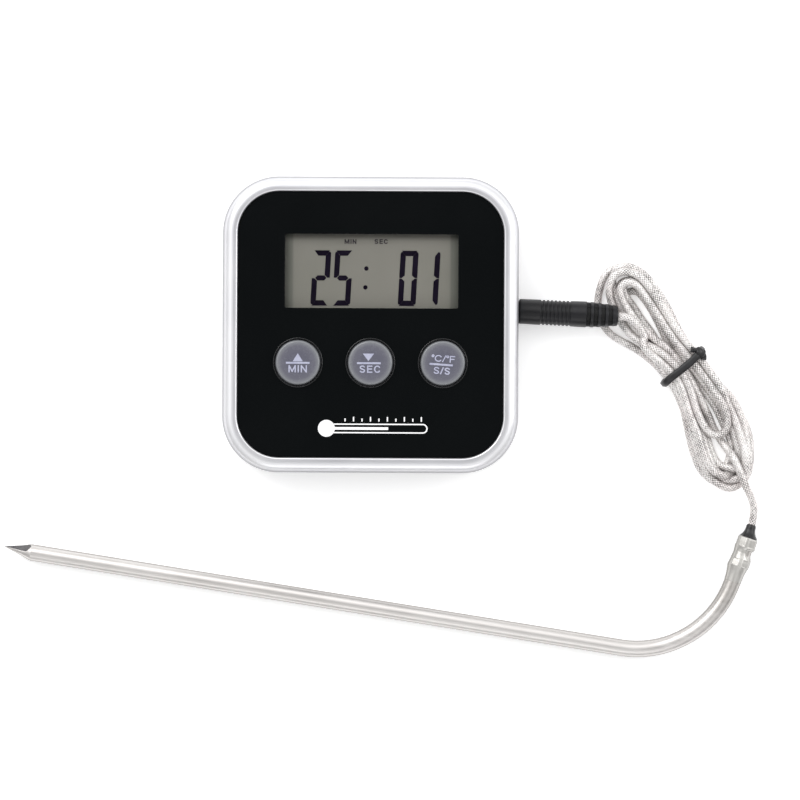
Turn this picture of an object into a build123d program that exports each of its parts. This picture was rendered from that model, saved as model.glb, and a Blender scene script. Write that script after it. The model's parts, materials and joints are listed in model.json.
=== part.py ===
from build123d import *
import os
from math import cos, pi, radians, sin, tan

# A probe cooking thermometer lying on its back. The display unit is a square housing with a folding
# stand, a slide-off battery cover and three keys. A jack plug, a braided lead wound into a tied hank and
# a bent stainless probe lie beside it. Millimetres. The origin is the centre of the unit's back face,
# +X to its right, +Y to its top edge and +Z out of its display.
os.makedirs("parts", exist_ok=True)

# ------------------------------------------------------------------ driving dimensions
# housing
BODY = 70.0
BODY_DEPTH = 18.0
BODY_CORNER = 13.3
WALL = 2.0
SPLIT_Z = 3.0
RIM_ROUND = 2.6
RIM_INNER_ROUND = 0.4
BACK_ROUND = 1.2
BACK_FLOOR = 1.6
LIP = 1.0
LIP_HEIGHT = 1.2
GAP = 0.1

# black front panel and the deck that it is glued to
PANEL = 62.7
PANEL_CORNER = 9.85
PANEL_THICK = 1.0
PANEL_DROP = 0.7
DECK_THICK = 1.2

# display
WINDOW = (0.2, 12.65)
WINDOW_SIZE = (40.9, 17.5)
WINDOW_CORNER = 0.45
LENS_SIZE = (45.0, 21.4)
LENS_THICK = 0.7
GLASS_SIZE = (46.0, 24.0)
GLASS_THICK = 0.9
CONTACT_LEDGE = 2.8
REFLECTOR_THICK = 0.25
ZEBRA_SIZE = (42.0, 2.0)

# keys
KEY_X = 17.1
KEY_Y = -9.0
KEY_R = 5.275
KEY_HOLE_R = 5.7
KEY_PROUD = 1.2
KEY_FLANGE_R = 6.6
KEY_FLANGE = 1.0
KEY_STEM_R = 2.0
KEY_STEM = 1.8
DOME_R = 4.2

# circuit board
BOARD_SIZE = (61.0, 41.0)
BOARD_Y = -4.9
BOARD_THICK = 1.2
BOARD_BOTTOM = 8.4
BOARD_SCREWS = ((28.0, 12.0), (-28.0, 12.0), (28.0, -21.5), (-28.0, -21.5))

# case screws
CASE_SCREW = 28.1
CASE_BOSS_R = 2.3
CASE_POST_R = 2.6
CASE_POST_TOP = 7.0
CASE_SEAT_Z = 4.2
SCREW_R = 1.0

# battery, an AAA cell, across the top of the back
CELL_R = 5.25
CELL_LENGTH = 44.5
CELL_Y = 23.0
CELL_Z = 6.85
BAY_SIZE = (48.8, 11.2)
BAY_WALL = 1.2
BAY_ROOF = 12.2
COVER_WIDTH = 50.0
COVER_LOW_Y = 16.8
COVER_BOTTOM = 0.2
COVER_THICK = 1.2
COVER_GAP = 0.2
RAIL = 0.6
RAIL_THICK = 0.5

# folding stand
STAND_WIDTH = 34.0
STAND_TIP_Y = -31.0
STAND_AXIS_Y = 9.5
STAND_AXIS_Z = 1.2
STAND_HEEL = 1.6
STAND_BOTTOM = 0.2
STAND_THICK = 1.8
STAND_PIN_R = 0.7
STAND_PIN_LENGTH = 1.1
WELL_DEPTH = 2.9
WELL_GAP = 0.3

# timer and temperature slide switch on the back
SWITCH = (-26.0, -8.0)
SWITCH_TRAVEL = 3.0

# magnets in the back
MAGNET = (25.5, 5.0)
MAGNET_R = 5.0
MAGNET_THICK = 2.0

# jack and plug, 2.5 mm; their common axis dips by a few degrees towards the plug's tail
JACK_Y = 3.65
JACK_Z = 5.9
PLUG_DIP = radians(2.4)
SHAFT_R = 1.25
SHAFT_FIT = 0.05
SHAFT_LENGTH = 11.0
JACK_LENGTH = 11.6
JACK_NOZZLE_R = 2.6
PLUG_GAP = 0.25
PLUG_R = 3.0
PLUG_LENGTH = 24.1
PLUG_TAIL_R = 2.4

# cord
CORD_R = 0.95
HANK_BOTTOM = 0.2
HANK_HEIGHT = 5.6
TIE = (74.85, -9.4)
TIE_HEADING = radians(41.3)
TIE_INNER = (10.6, 4.8)
TIE_THICK = 1.1
TIE_WIDTH = 1.5

# probe
PROBE_Z = 2.5
PROBE_R = 2.0
PROBE_WALL = 0.35
PROBE_TIP = (-87.8, -53.8)
PROBE_HEADING = radians(-8.87)
PROBE_STRAIGHT = 150.0
PROBE_TIP_LENGTH = 6.6
PROBE_BEND_R = 24.3
PROBE_END_HEADING = radians(70.5)
PROBE_END = 11.3
FERRULE_LENGTH = 9.4
FERRULE_R = 2.5
FERRULE_MOUTH = 3.0
CAP_HEADING = radians(75.5)
CAP_LENGTH = 3.2

# ------------------------------------------------------------------ heights and places that follow
PANEL_FACE = BODY_DEPTH - PANEL_DROP
PANEL_BACK = PANEL_FACE - PANEL_THICK
DECK_BACK = PANEL_BACK - DECK_THICK
BOARD_TOP = BOARD_BOTTOM + BOARD_THICK
LEDGE_Z = DECK_BACK - GLASS_THICK
GLASS_BACK = LEDGE_Z - GLASS_THICK
KEY_FLANGE_TOP = DECK_BACK - GAP
KEY_BOTTOM = KEY_FLANGE_TOP - KEY_FLANGE - KEY_STEM
INNER = BODY - 2 * WALL
INNER_CORNER = BODY_CORNER - WALL
LIP_OUTER = INNER - 2 * GAP
LIP_CORNER = INNER_CORNER - GAP
WELL_TOP_Y = STAND_AXIS_Y + STAND_HEEL + 2 * WELL_GAP
WELL_LOW_Y = STAND_TIP_Y - WELL_GAP
WELL_WIDTH = STAND_WIDTH + 2 * WELL_GAP
BAY_HIGH_Y = CELL_Y + BAY_SIZE[1] / 2
COVER_TOP = COVER_BOTTOM + COVER_THICK
CORNERS = [(x * CASE_SCREW, y * CASE_SCREW) for x in (-1, 1) for y in (-1, 1)]


def heading_vector(heading):
    return Vector(cos(heading), sin(heading), 0)


def turning_plane(origin, heading):
    """A sketch plane for turned pieces: local x is the radius and local y runs along the axis."""
    return Plane(origin=origin, x_dir=(0, 0, 1), z_dir=Vector(0, 0, 1).cross(heading_vector(heading)))


def cross_plane(origin, heading):
    """A sketch plane across an axis: local x is level, local y is up and local z runs along the axis."""
    along = heading_vector(heading)
    return Plane(origin=origin, x_dir=along.cross(Vector(0, 0, 1)), z_dir=along)


def corner_radii(points):
    """The largest even arc for each corner of a cord's route."""
    radii = []
    for before, here, after in zip(points, points[1:], points[2:]):
        leg_in = Vector(*here) - Vector(*before)
        leg_out = Vector(*after) - Vector(*here)
        turn = radians(leg_in.get_angle(leg_out))
        radii.append(0.45 * min(leg_in.length, leg_out.length) / tan(turn / 2))
    return radii


JACK_MOUTH = Vector(BODY / 2, JACK_Y, JACK_Z)
PLUG_WAY = heading_vector(-PLUG_DIP)
PLUG_AXIS = Axis(JACK_MOUTH, PLUG_WAY)
PLUG_PLANE = turning_plane(JACK_MOUTH, -PLUG_DIP)
PLUG_TAIL = JACK_MOUTH + PLUG_WAY * PLUG_LENGTH

TIP = Vector(*PROBE_TIP, PROBE_Z)
PROBE_WAY = heading_vector(PROBE_HEADING)
BEND_START = TIP + PROBE_WAY * PROBE_STRAIGHT
BEND_CENTRE = BEND_START + PROBE_WAY.rotate(Axis.Z, 90) * PROBE_BEND_R
END_WAY = heading_vector(PROBE_END_HEADING)
MID_WAY = heading_vector((PROBE_HEADING + PROBE_END_HEADING) / 2)
BEND_MID = BEND_CENTRE - MID_WAY.rotate(Axis.Z, 90) * PROBE_BEND_R
BEND_END = BEND_CENTRE - END_WAY.rotate(Axis.Z, 90) * PROBE_BEND_R
MOUTH = BEND_END + END_WAY * PROBE_END
CAP_WAY = heading_vector(CAP_HEADING)
CAP_TOP = MOUTH + CAP_WAY * CAP_LENGTH

# ================================================================== housing
with BuildPart() as front_housing:
    with BuildSketch(Plane.XY.offset(SPLIT_Z)):
        RectangleRounded(BODY, BODY, BODY_CORNER)
    extrude(amount=BODY_DEPTH - SPLIT_Z)
    fillet(front_housing.faces().sort_by(Axis.Z)[-1].edges(), RIM_ROUND)
    # seat of the front panel inside the rim
    with BuildSketch(Plane.XY.offset(PANEL_BACK)):
        RectangleRounded(PANEL + 2 * GAP, PANEL + 2 * GAP, PANEL_CORNER + GAP)
    extrude(amount=BODY_DEPTH - PANEL_BACK, mode=Mode.SUBTRACT)
    crown = front_housing.faces().sort_by(Axis.Z)[-1]
    fillet(crown.inner_wires()[0].edges(), RIM_INNER_ROUND)
    # hollow behind the deck
    with BuildSketch(Plane.XY.offset(SPLIT_Z)):
        RectangleRounded(INNER, INNER, INNER_CORNER)
    extrude(amount=DECK_BACK - SPLIT_Z, mode=Mode.SUBTRACT)
    # bosses for the case screws and for the circuit board
    with BuildSketch(Plane.XY.offset(CASE_POST_TOP)):
        with Locations(*CORNERS):
            Circle(CASE_BOSS_R)
    extrude(amount=DECK_BACK - CASE_POST_TOP)
    with BuildSketch(Plane.XY.offset(BOARD_TOP)):
        with Locations(*BOARD_SCREWS):
            Circle(2.0)
    extrude(amount=DECK_BACK - BOARD_TOP)
    # ribs that locate the display
    with BuildSketch(Plane.XY.offset(GLASS_BACK + 0.3)):
        with Locations(WINDOW):
            Rectangle(GLASS_SIZE[0] + 2.4, GLASS_SIZE[1] + 2.4)
            Rectangle(GLASS_SIZE[0] + 0.4, GLASS_SIZE[1] + 0.4, mode=Mode.SUBTRACT)
    extrude(amount=DECK_BACK - GLASS_BACK - 0.3)
    # rebate for the lens, window and key holes through the deck
    with BuildSketch(Plane.XY.offset(PANEL_BACK)):
        with Locations(WINDOW):
            Rectangle(LENS_SIZE[0] + 2 * GAP, LENS_SIZE[1] + 2 * GAP)
    extrude(amount=-LENS_THICK, mode=Mode.SUBTRACT)
    with BuildSketch(Plane.XY.offset(PANEL_BACK)):
        with Locations(WINDOW):
            Rectangle(WINDOW_SIZE[0] + 1.2, WINDOW_SIZE[1] + 1.2)
        with Locations((-KEY_X, KEY_Y), (0, KEY_Y), (KEY_X, KEY_Y)):
            Circle(KEY_HOLE_R + 0.1)
    extrude(amount=-DECK_THICK, mode=Mode.SUBTRACT)
    # pilot holes
    with BuildSketch(Plane.XY.offset(CASE_POST_TOP)):
        with Locations(*CORNERS):
            Circle(SCREW_R)
    extrude(amount=6.5, mode=Mode.SUBTRACT)
    with BuildSketch(Plane.XY.offset(BOARD_TOP)):
        with Locations(*BOARD_SCREWS):
            Circle(0.75)
    extrude(amount=4.0, mode=Mode.SUBTRACT)
    # hole in the right side for the jack's nozzle
    with BuildSketch(cross_plane(JACK_MOUTH - PLUG_WAY * 4, -PLUG_DIP)):
        Circle(JACK_NOZZLE_R + GAP)
    extrude(amount=6, mode=Mode.SUBTRACT)
front_housing.part.label = "front_housing"
export_step(front_housing.part, "parts/front_housing.step")

with BuildPart() as back_cover:
    with BuildSketch():
        RectangleRounded(BODY, BODY, BODY_CORNER)
    extrude(amount=SPLIT_Z)
    fillet(back_cover.faces().sort_by(Axis.Z)[0].edges(), BACK_ROUND)
    # lip that locates it in the front housing
    with BuildSketch(Plane.XY.offset(SPLIT_Z)):
        RectangleRounded(LIP_OUTER, LIP_OUTER, LIP_CORNER)
    extrude(amount=LIP_HEIGHT)
    with BuildSketch(Plane.XY.offset(BACK_FLOOR)):
        RectangleRounded(LIP_OUTER - 2 * LIP, LIP_OUTER - 2 * LIP, LIP_CORNER - LIP)
    extrude(amount=SPLIT_Z + LIP_HEIGHT - BACK_FLOOR, mode=Mode.SUBTRACT)
    # notch in the lip under the jack
    with BuildSketch(Plane.XY.offset(SPLIT_Z)):
        with Locations((LIP_OUTER / 2 - LIP, JACK_Y)):
            Rectangle(6, 9)
    extrude(amount=LIP_HEIGHT, mode=Mode.SUBTRACT)
    # screw posts, trimmed to the lip's outline
    with BuildSketch(Plane.XY.offset(BACK_FLOOR)):
        with Locations(*CORNERS):
            Circle(CASE_POST_R)
        RectangleRounded(LIP_OUTER, LIP_OUTER, LIP_CORNER, mode=Mode.INTERSECT)
    extrude(amount=CASE_POST_TOP - BACK_FLOOR)
    # block round the stand's well, reaching up to the battery bay
    with BuildSketch(Plane.XY.offset(BACK_FLOOR)):
        with Locations((0, (WELL_TOP_Y + WELL_LOW_Y) / 2)):
            Rectangle(WELL_WIDTH + 3.2, WELL_TOP_Y - WELL_LOW_Y + 2.4)
    extrude(amount=WELL_DEPTH + 1.2 - BACK_FLOOR)
    # walls and roof of the battery bay, and the solid shelf above it that the cover slides over
    with BuildSketch(Plane.XY.offset(BACK_FLOOR)):
        with Locations((0, CELL_Y)):
            Rectangle(BAY_SIZE[0] + 2 * BAY_WALL, BAY_SIZE[1] + 2 * BAY_WALL)
    extrude(amount=BAY_ROOF + 0.8 - BACK_FLOOR)
    with BuildSketch(Plane.XY.offset(BACK_FLOOR)):
        with Locations((0, (BAY_HIGH_Y + LIP_OUTER / 2) / 2)):
            Rectangle(COVER_WIDTH + 4, LIP_OUTER / 2 - BAY_HIGH_Y)
        RectangleRounded(LIP_OUTER, LIP_OUTER, LIP_CORNER, mode=Mode.INTERSECT)
    extrude(amount=SPLIT_Z - BACK_FLOOR)
    # pads under the slide switch and round the magnets
    with BuildSketch(Plane.XY.offset(BACK_FLOOR)):
        with Locations(SWITCH):
            Rectangle(6.4, 11.0)
    extrude(amount=0.6)
    with BuildSketch(Plane.XY.offset(BACK_FLOOR)):
        with Locations(MAGNET, (-MAGNET[0], MAGNET[1])):
            Circle(MAGNET_R + 0.9)
    extrude(amount=1.5)
    # the well itself, with a scoop for a fingernail at the stand's tip
    with BuildSketch():
        with Locations((0, (WELL_TOP_Y + WELL_LOW_Y) / 2)):
            Rectangle(WELL_WIDTH, WELL_TOP_Y - WELL_LOW_Y)
    extrude(amount=WELL_DEPTH, mode=Mode.SUBTRACT)
    with BuildSketch():
        with Locations((0, WELL_LOW_Y)):
            SlotOverall(12, 3.0)
    extrude(amount=1.3, mode=Mode.SUBTRACT)
    # battery bay and the cover's seat, open at the top edge
    with BuildSketch():
        with Locations((0, CELL_Y)):
            Rectangle(*BAY_SIZE)
    extrude(amount=BAY_ROOF, mode=Mode.SUBTRACT)
    seat_low = COVER_LOW_Y - COVER_GAP
    with BuildSketch():
        with Locations((0, (seat_low + BODY / 2 + 1) / 2)):
            Rectangle(COVER_WIDTH + 2 * COVER_GAP, BODY / 2 + 1 - seat_low)
    extrude(amount=COVER_TOP + GAP, mode=Mode.SUBTRACT)
    # grooves for the cover's rails
    groove_z = COVER_TOP - RAIL_THICK - GAP
    with BuildSketch(Plane.XY.offset(groove_z)):
        with Locations((0, (seat_low + BODY / 2 + 1) / 2)):
            Rectangle(COVER_WIDTH + 2 * COVER_GAP + 2 * RAIL, BODY / 2 + 1 - seat_low)
    extrude(amount=RAIL_THICK + 2 * GAP, mode=Mode.SUBTRACT)
    # slots in the bay's end walls for the contacts' tabs
    with BuildSketch(Plane.XY.offset(BAY_ROOF - 4.2)):
        with Locations((0, CELL_Y)):
            Rectangle(BAY_SIZE[0] + 2 * BAY_WALL + 1, 3.2)
    extrude(amount=1.0, mode=Mode.SUBTRACT)
    # slide switch pocket and slot, magnet pockets
    with BuildSketch():
        with Locations(SWITCH):
            Rectangle(4.4, 9.4)
    extrude(amount=1.0, mode=Mode.SUBTRACT)
    with BuildSketch():
        with Locations(SWITCH):
            Rectangle(2.2, 6.6)
    extrude(amount=BACK_FLOOR + 0.6, mode=Mode.SUBTRACT)
    with BuildSketch():
        with Locations(MAGNET, (-MAGNET[0], MAGNET[1])):
            Circle(MAGNET_R + 0.05)
    extrude(amount=MAGNET_THICK + 0.2, mode=Mode.SUBTRACT)
    # case screw holes, counterbored from the back
    with BuildSketch():
        with Locations(*CORNERS):
            Circle(2.1)
    extrude(amount=CASE_SEAT_Z, mode=Mode.SUBTRACT)
    with BuildSketch():
        with Locations(*CORNERS):
            Circle(SCREW_R + 0.15)
    extrude(amount=CASE_POST_TOP, mode=Mode.SUBTRACT)
    # pivot holes of the stand
    with BuildSketch(Plane.YZ):
        with Locations((STAND_AXIS_Y, STAND_AXIS_Z)):
            Circle(STAND_PIN_R + 0.08)
    extrude(amount=STAND_WIDTH / 2 + STAND_PIN_LENGTH + 0.3, both=True, mode=Mode.SUBTRACT)
back_cover.part.label = "back_cover"
export_step(back_cover.part, "parts/back_cover.step")

with BuildPart() as front_panel:
    with BuildSketch(Plane.XY.offset(PANEL_BACK)):
        RectangleRounded(PANEL, PANEL, PANEL_CORNER)
        with Locations(WINDOW):
            RectangleRounded(*WINDOW_SIZE, WINDOW_CORNER, mode=Mode.SUBTRACT)
        with Locations((-KEY_X, KEY_Y), (0, KEY_Y), (KEY_X, KEY_Y)):
            Circle(KEY_HOLE_R, mode=Mode.SUBTRACT)
    extrude(amount=PANEL_THICK)
    chamfer(front_panel.faces().sort_by(Axis.Z)[-1].edges(), 0.12)
front_panel.part.label = "front_panel"
export_step(front_panel.part, "parts/front_panel.step")

# ================================================================== display
with BuildPart() as display_window:
    with BuildSketch(Plane.XY.offset(PANEL_BACK - LENS_THICK)):
        with Locations(WINDOW):
            Rectangle(*LENS_SIZE)
    extrude(amount=LENS_THICK)
display_window.part.label = "display_window"
export_step(display_window.part, "parts/display_window.step")

# front plate with its contact ledge left bare along the lower edge, and rear plate
with BuildPart() as lcd_glass:
    with BuildSketch(Plane.XY.offset(LEDGE_Z)):
        with Locations(WINDOW):
            Rectangle(*GLASS_SIZE)
    extrude(amount=GLASS_THICK)
    with BuildSketch(Plane.XY.offset(GLASS_BACK)):
        with Locations((WINDOW[0], WINDOW[1] + CONTACT_LEDGE / 2)):
            Rectangle(GLASS_SIZE[0], GLASS_SIZE[1] - CONTACT_LEDGE)
    extrude(amount=GLASS_THICK)
lcd_glass.part.label = "lcd_glass"
export_step(lcd_glass.part, "parts/lcd_glass.step")

with BuildPart() as lcd_reflector:
    with BuildSketch(Plane.XY.offset(GLASS_BACK - REFLECTOR_THICK)):
        with Locations((WINDOW[0], WINDOW[1] + CONTACT_LEDGE / 2)):
            Rectangle(GLASS_SIZE[0] - 1, GLASS_SIZE[1] - CONTACT_LEDGE - 1)
    extrude(amount=REFLECTOR_THICK)
lcd_reflector.part.label = "lcd_reflector"
export_step(lcd_reflector.part, "parts/lcd_reflector.step")

# conductive elastomer strip between the board and the display's ledge
with BuildPart() as zebra_strip:
    with BuildSketch(Plane.XY.offset(BOARD_TOP)):
        with Locations((WINDOW[0], WINDOW[1] - GLASS_SIZE[1] / 2 + CONTACT_LEDGE / 2)):
            Rectangle(*ZEBRA_SIZE)
    extrude(amount=LEDGE_Z - BOARD_TOP)
zebra_strip.part.label = "zebra_strip"
export_step(zebra_strip.part, "parts/zebra_strip.step")


# ================================================================== keys
def make_button(x):
    """A translucent cap with a flange that stops under the deck and a stem on its rubber dome."""
    with BuildPart() as button:
        with BuildSketch(Plane.XY.offset(KEY_FLANGE_TOP - KEY_FLANGE)):
            with Locations((x, KEY_Y)):
                Circle(KEY_FLANGE_R)
        extrude(amount=KEY_FLANGE)
        with BuildSketch(Plane.XY.offset(KEY_FLANGE_TOP)):
            with Locations((x, KEY_Y)):
                Circle(KEY_R)
        extrude(amount=PANEL_FACE + KEY_PROUD - KEY_FLANGE_TOP)
        fillet(button.faces().sort_by(Axis.Z)[-1].edges(), 0.5)
        with BuildSketch(Plane.XY.offset(KEY_BOTTOM)):
            with Locations((x, KEY_Y)):
                Circle(KEY_STEM_R)
        extrude(amount=KEY_STEM)
    return button


def make_dome(x):
    """A conductive rubber dome standing on the board under one key."""
    height = KEY_BOTTOM - BOARD_TOP
    with BuildPart() as dome:
        with BuildSketch(Plane.XZ.offset(-KEY_Y)):
            with BuildLine():
                Polyline(
                    (x, BOARD_TOP + height),
                    (x + KEY_STEM_R, BOARD_TOP + height),
                    (x + DOME_R - 0.6, BOARD_TOP + 0.5),
                    (x + DOME_R, BOARD_TOP + 0.5),
                    (x + DOME_R, BOARD_TOP),
                    (x + DOME_R - 1.2, BOARD_TOP),
                    (x + KEY_STEM_R - 0.6, BOARD_TOP + height - 0.9),
                    (x, BOARD_TOP + height - 0.9),
                    close=True,
                )
            make_face()
        revolve(axis=Axis((x, KEY_Y, 0), (0, 0, 1)))
    return dome


button_minutes = make_button(-KEY_X)
button_minutes.part.label = "button_minutes"
export_step(button_minutes.part, "parts/button_minutes.step")

button_seconds = make_button(0)
button_seconds.part.label = "button_seconds"
export_step(button_seconds.part, "parts/button_seconds.step")

button_mode = make_button(KEY_X)
button_mode.part.label = "button_mode"
export_step(button_mode.part, "parts/button_mode.step")

dome_minutes = make_dome(-KEY_X)
dome_minutes.part.label = "dome_minutes"
export_step(dome_minutes.part, "parts/dome_minutes.step")

dome_seconds = make_dome(0)
dome_seconds.part.label = "dome_seconds"
export_step(dome_seconds.part, "parts/dome_seconds.step")

dome_mode = make_dome(KEY_X)
dome_mode.part.label = "dome_mode"
export_step(dome_mode.part, "parts/dome_mode.step")

# ================================================================== electronics
with BuildPart() as circuit_board:
    with BuildSketch(Plane.XY.offset(BOARD_BOTTOM)):
        with Locations((0, BOARD_Y)):
            RectangleRounded(*BOARD_SIZE, 2.0)
        with Locations(*BOARD_SCREWS):
            Circle(0.9, mode=Mode.SUBTRACT)
    extrude(amount=BOARD_THICK)
circuit_board.part.label = "circuit_board"
export_step(circuit_board.part, "parts/circuit_board.step")

# epoxy blob over the processor, on the display's side of the board
with BuildPart() as chip_blob:
    with BuildSketch(Plane.XY.offset(BOARD_TOP)):
        with Locations((0, 9.5)):
            Circle(4.5)
    extrude(amount=1.2)
    fillet(chip_blob.faces().sort_by(Axis.Z)[-1].edges(), 1.0)
chip_blob.part.label = "chip_blob"
export_step(chip_blob.part, "parts/chip_blob.step")

with BuildPart() as quartz_crystal:
    with BuildSketch(Plane.YZ.offset(-18)):
        with Locations((-21, BOARD_TOP + 1)):
            Circle(1.0)
    extrude(amount=6)
    fillet(quartz_crystal.faces().sort_by(Axis.X)[-1].edges(), 0.3)
quartz_crystal.part.label = "quartz_crystal"
export_step(quartz_crystal.part, "parts/quartz_crystal.step")

# piezo disc glued to the inside of the back cover, brass below and ceramic above
with BuildPart() as buzzer:
    with BuildSketch(Plane.XY.offset(WELL_DEPTH + 1.2)):
        with Locations((0, -10)):
            Circle(10)
    extrude(amount=0.3)
    with BuildSketch(Plane.XY.offset(WELL_DEPTH + 1.5)):
        with Locations((0, -10)):
            Circle(7)
    extrude(amount=0.25)
buzzer.part.label = "buzzer"
export_step(buzzer.part, "parts/buzzer.step")

with BuildPart() as board_screws:
    with BuildSketch(Plane.XY.offset(BOARD_BOTTOM - 1)):
        with Locations(*BOARD_SCREWS):
            Circle(1.5)
    extrude(amount=1)
    with BuildSketch(Plane.XY.offset(BOARD_BOTTOM)):
        with Locations(*BOARD_SCREWS):
            Circle(0.74)
    extrude(amount=4.6)
board_screws.part.label = "board_screws"
export_step(board_screws.part, "parts/board_screws.step")

with BuildPart() as case_screws:
    with BuildSketch(Plane.XY.offset(CASE_SEAT_Z - 1.4)):
        with Locations(*CORNERS):
            Circle(1.9)
    extrude(amount=1.4)
    with BuildSketch(Plane.XY.offset(CASE_SEAT_Z)):
        with Locations(*CORNERS):
            Circle(SCREW_R - 0.01)
    extrude(amount=8.0)
    # cross recess in each head
    with BuildSketch(Plane.XY.offset(CASE_SEAT_Z - 1.4)):
        with Locations(*CORNERS):
            Rectangle(2.2, 0.5)
            Rectangle(0.5, 2.2)
    extrude(amount=0.8, mode=Mode.SUBTRACT)
case_screws.part.label = "case_screws"
export_step(case_screws.part, "parts/case_screws.step")

with BuildPart() as magnets:
    with BuildSketch(Plane.XY.offset(0.15)):
        with Locations(MAGNET, (-MAGNET[0], MAGNET[1])):
            Circle(MAGNET_R)
    extrude(amount=MAGNET_THICK)
magnets.part.label = "magnets"
export_step(magnets.part, "parts/magnets.step")

# ================================================================== battery
CELL_NUB = 1.2
CELL_END = BAY_SIZE[0] / 2 - 0.5
with BuildPart() as battery:
    with BuildSketch(Plane.XZ.offset(-CELL_Y)):
        with BuildLine():
            Polyline(
                (CELL_END - CELL_LENGTH, CELL_Z),
                (CELL_END - CELL_LENGTH, CELL_Z + CELL_R - 0.6),
                (CELL_END - CELL_LENGTH + 0.6, CELL_Z + CELL_R),
                (CELL_END - CELL_NUB - 0.6, CELL_Z + CELL_R),
                (CELL_END - CELL_NUB, CELL_Z + CELL_R - 0.6),
                (CELL_END - CELL_NUB, CELL_Z + 1.9),
                (CELL_END, CELL_Z + 1.9),
                (CELL_END, CELL_Z),
                close=True,
            )
        make_face()
    revolve(axis=Axis((0, CELL_Y, CELL_Z), (1, 0, 0)))
battery.part.label = "battery"
export_step(battery.part, "parts/battery.step")


def make_contact(side):
    """A sprung-steel contact plate in one end of the bay, with a solder tab through the end wall."""
    wall = side * BAY_SIZE[0] / 2
    with BuildPart() as contact:
        with BuildSketch(Plane.YZ.offset(wall)):
            with Locations((CELL_Y, CELL_Z)):
                Rectangle(8.6, 8.6)
        extrude(amount=-side * 0.4)
        with BuildSketch(Plane.YZ.offset(wall - side * 0.4)):
            with Locations((CELL_Y, BAY_ROOF - 3.7)):
                Rectangle(2.6, 0.4)
        extrude(amount=side * 3.4)
    return contact


positive_contact = make_contact(1)
positive_contact.part.label = "positive_contact"
export_step(positive_contact.part, "parts/positive_contact.step")

negative_contact = make_contact(-1)
negative_contact.part.label = "negative_contact"
export_step(negative_contact.part, "parts/negative_contact.step")

SPRING_WIRE_R = 0.3
spring_start = -BAY_SIZE[0] / 2 + 0.4 + SPRING_WIRE_R
spring_length = (CELL_END - CELL_LENGTH) - spring_start - SPRING_WIRE_R
with BuildPart() as battery_spring:
    with BuildLine() as spring_line:
        Helix(
            pitch=spring_length / 3,
            height=spring_length,
            radius=2.6,
            center=(spring_start, CELL_Y, CELL_Z),
            direction=(1, 0, 0),
        )
    with BuildSketch(Plane(origin=spring_line.line @ 0, z_dir=spring_line.line % 0)):
        Circle(SPRING_WIRE_R)
    sweep(is_frenet=True)
battery_spring.part.label = "battery_spring"
export_step(battery_spring.part, "parts/battery_spring.step")

# slides off over the unit's top edge; its outer edge follows the housing's outline
with BuildPart() as battery_cover:
    with BuildSketch():
        RectangleRounded(BODY, BODY, BODY_CORNER)
    extrude(amount=SPLIT_Z)
    fillet(battery_cover.faces().sort_by(Axis.Z)[0].edges(), BACK_ROUND)
    with BuildSketch(Plane.XY.offset(COVER_BOTTOM)):
        with Locations((0, (COVER_LOW_Y + BODY / 2) / 2)):
            Rectangle(COVER_WIDTH, BODY / 2 - COVER_LOW_Y)
    extrude(amount=COVER_THICK, mode=Mode.INTERSECT)
    # rails along both sides
    with BuildSketch(Plane.XY.offset(COVER_TOP - RAIL_THICK)):
        with Locations((0, COVER_LOW_Y + 6)):
            Rectangle(COVER_WIDTH + 2 * RAIL, 11)
    extrude(amount=RAIL_THICK)
    # thumb grip, three shallow grooves
    with BuildSketch(Plane.XY.offset(COVER_BOTTOM)):
        with GridLocations(0, 1.6, 1, 3):
            with Locations((0, 30.6)):
                SlotOverall(11, 0.7)
    extrude(amount=0.35, mode=Mode.SUBTRACT)
battery_cover.part.label = "battery_cover"
export_step(battery_cover.part, "parts/battery_cover.step")


def make_wire(points):
    """An insulated hook-up wire as a tube of runs and tangent arcs."""
    with BuildPart() as wire:
        with BuildLine() as route:
            FilletPolyline(*points, radius=corner_radii(points))
        with BuildSketch(Plane(origin=route.line @ 0, z_dir=route.line % 0)):
            Circle(0.45)
        sweep()
    return wire.part


TAB_X = BAY_SIZE[0] / 2 + 2.4
TAB_Z = BAY_ROOF - 3.7
battery_wire_points = [
    (TAB_X, CELL_Y - 1.6, TAB_Z - 0.7),
    (TAB_X + 1.0, CELL_Y - 4.5, TAB_Z - 1.6),
    (TAB_X + 0.2, CELL_Y - 7.6, TAB_Z - 2.4),
    (TAB_X - 3.2, CELL_Y - 9.6, TAB_Z - 2.6),
    (TAB_X - 5.0, CELL_Y - 11.2, TAB_Z - 1.9),
    (TAB_X - 5.0, CELL_Y - 11.2, BOARD_BOTTOM),
]
buzzer_wire_points = [
    (6.4, -13.0, WELL_DEPTH + 2.25),
    (9.0, -15.6, WELL_DEPTH + 2.6),
    (12.0, -16.9, WELL_DEPTH + 3.0),
    (14.0, -18.0, BOARD_BOTTOM - 1.9),
    (14.0, -18.0, BOARD_BOTTOM),
]
battery_wire = make_wire(battery_wire_points)
buzzer_wire = make_wire(buzzer_wire_points)
with BuildPart() as hookup_wires:
    add(battery_wire)
    add(mirror(battery_wire, about=Plane.YZ))
    add(buzzer_wire)
    add(Pos(-2.2, -2.0, 0) * buzzer_wire)
hookup_wires.part.label = "hookup_wires"
export_step(hookup_wires.part, "parts/hookup_wires.step")

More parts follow.
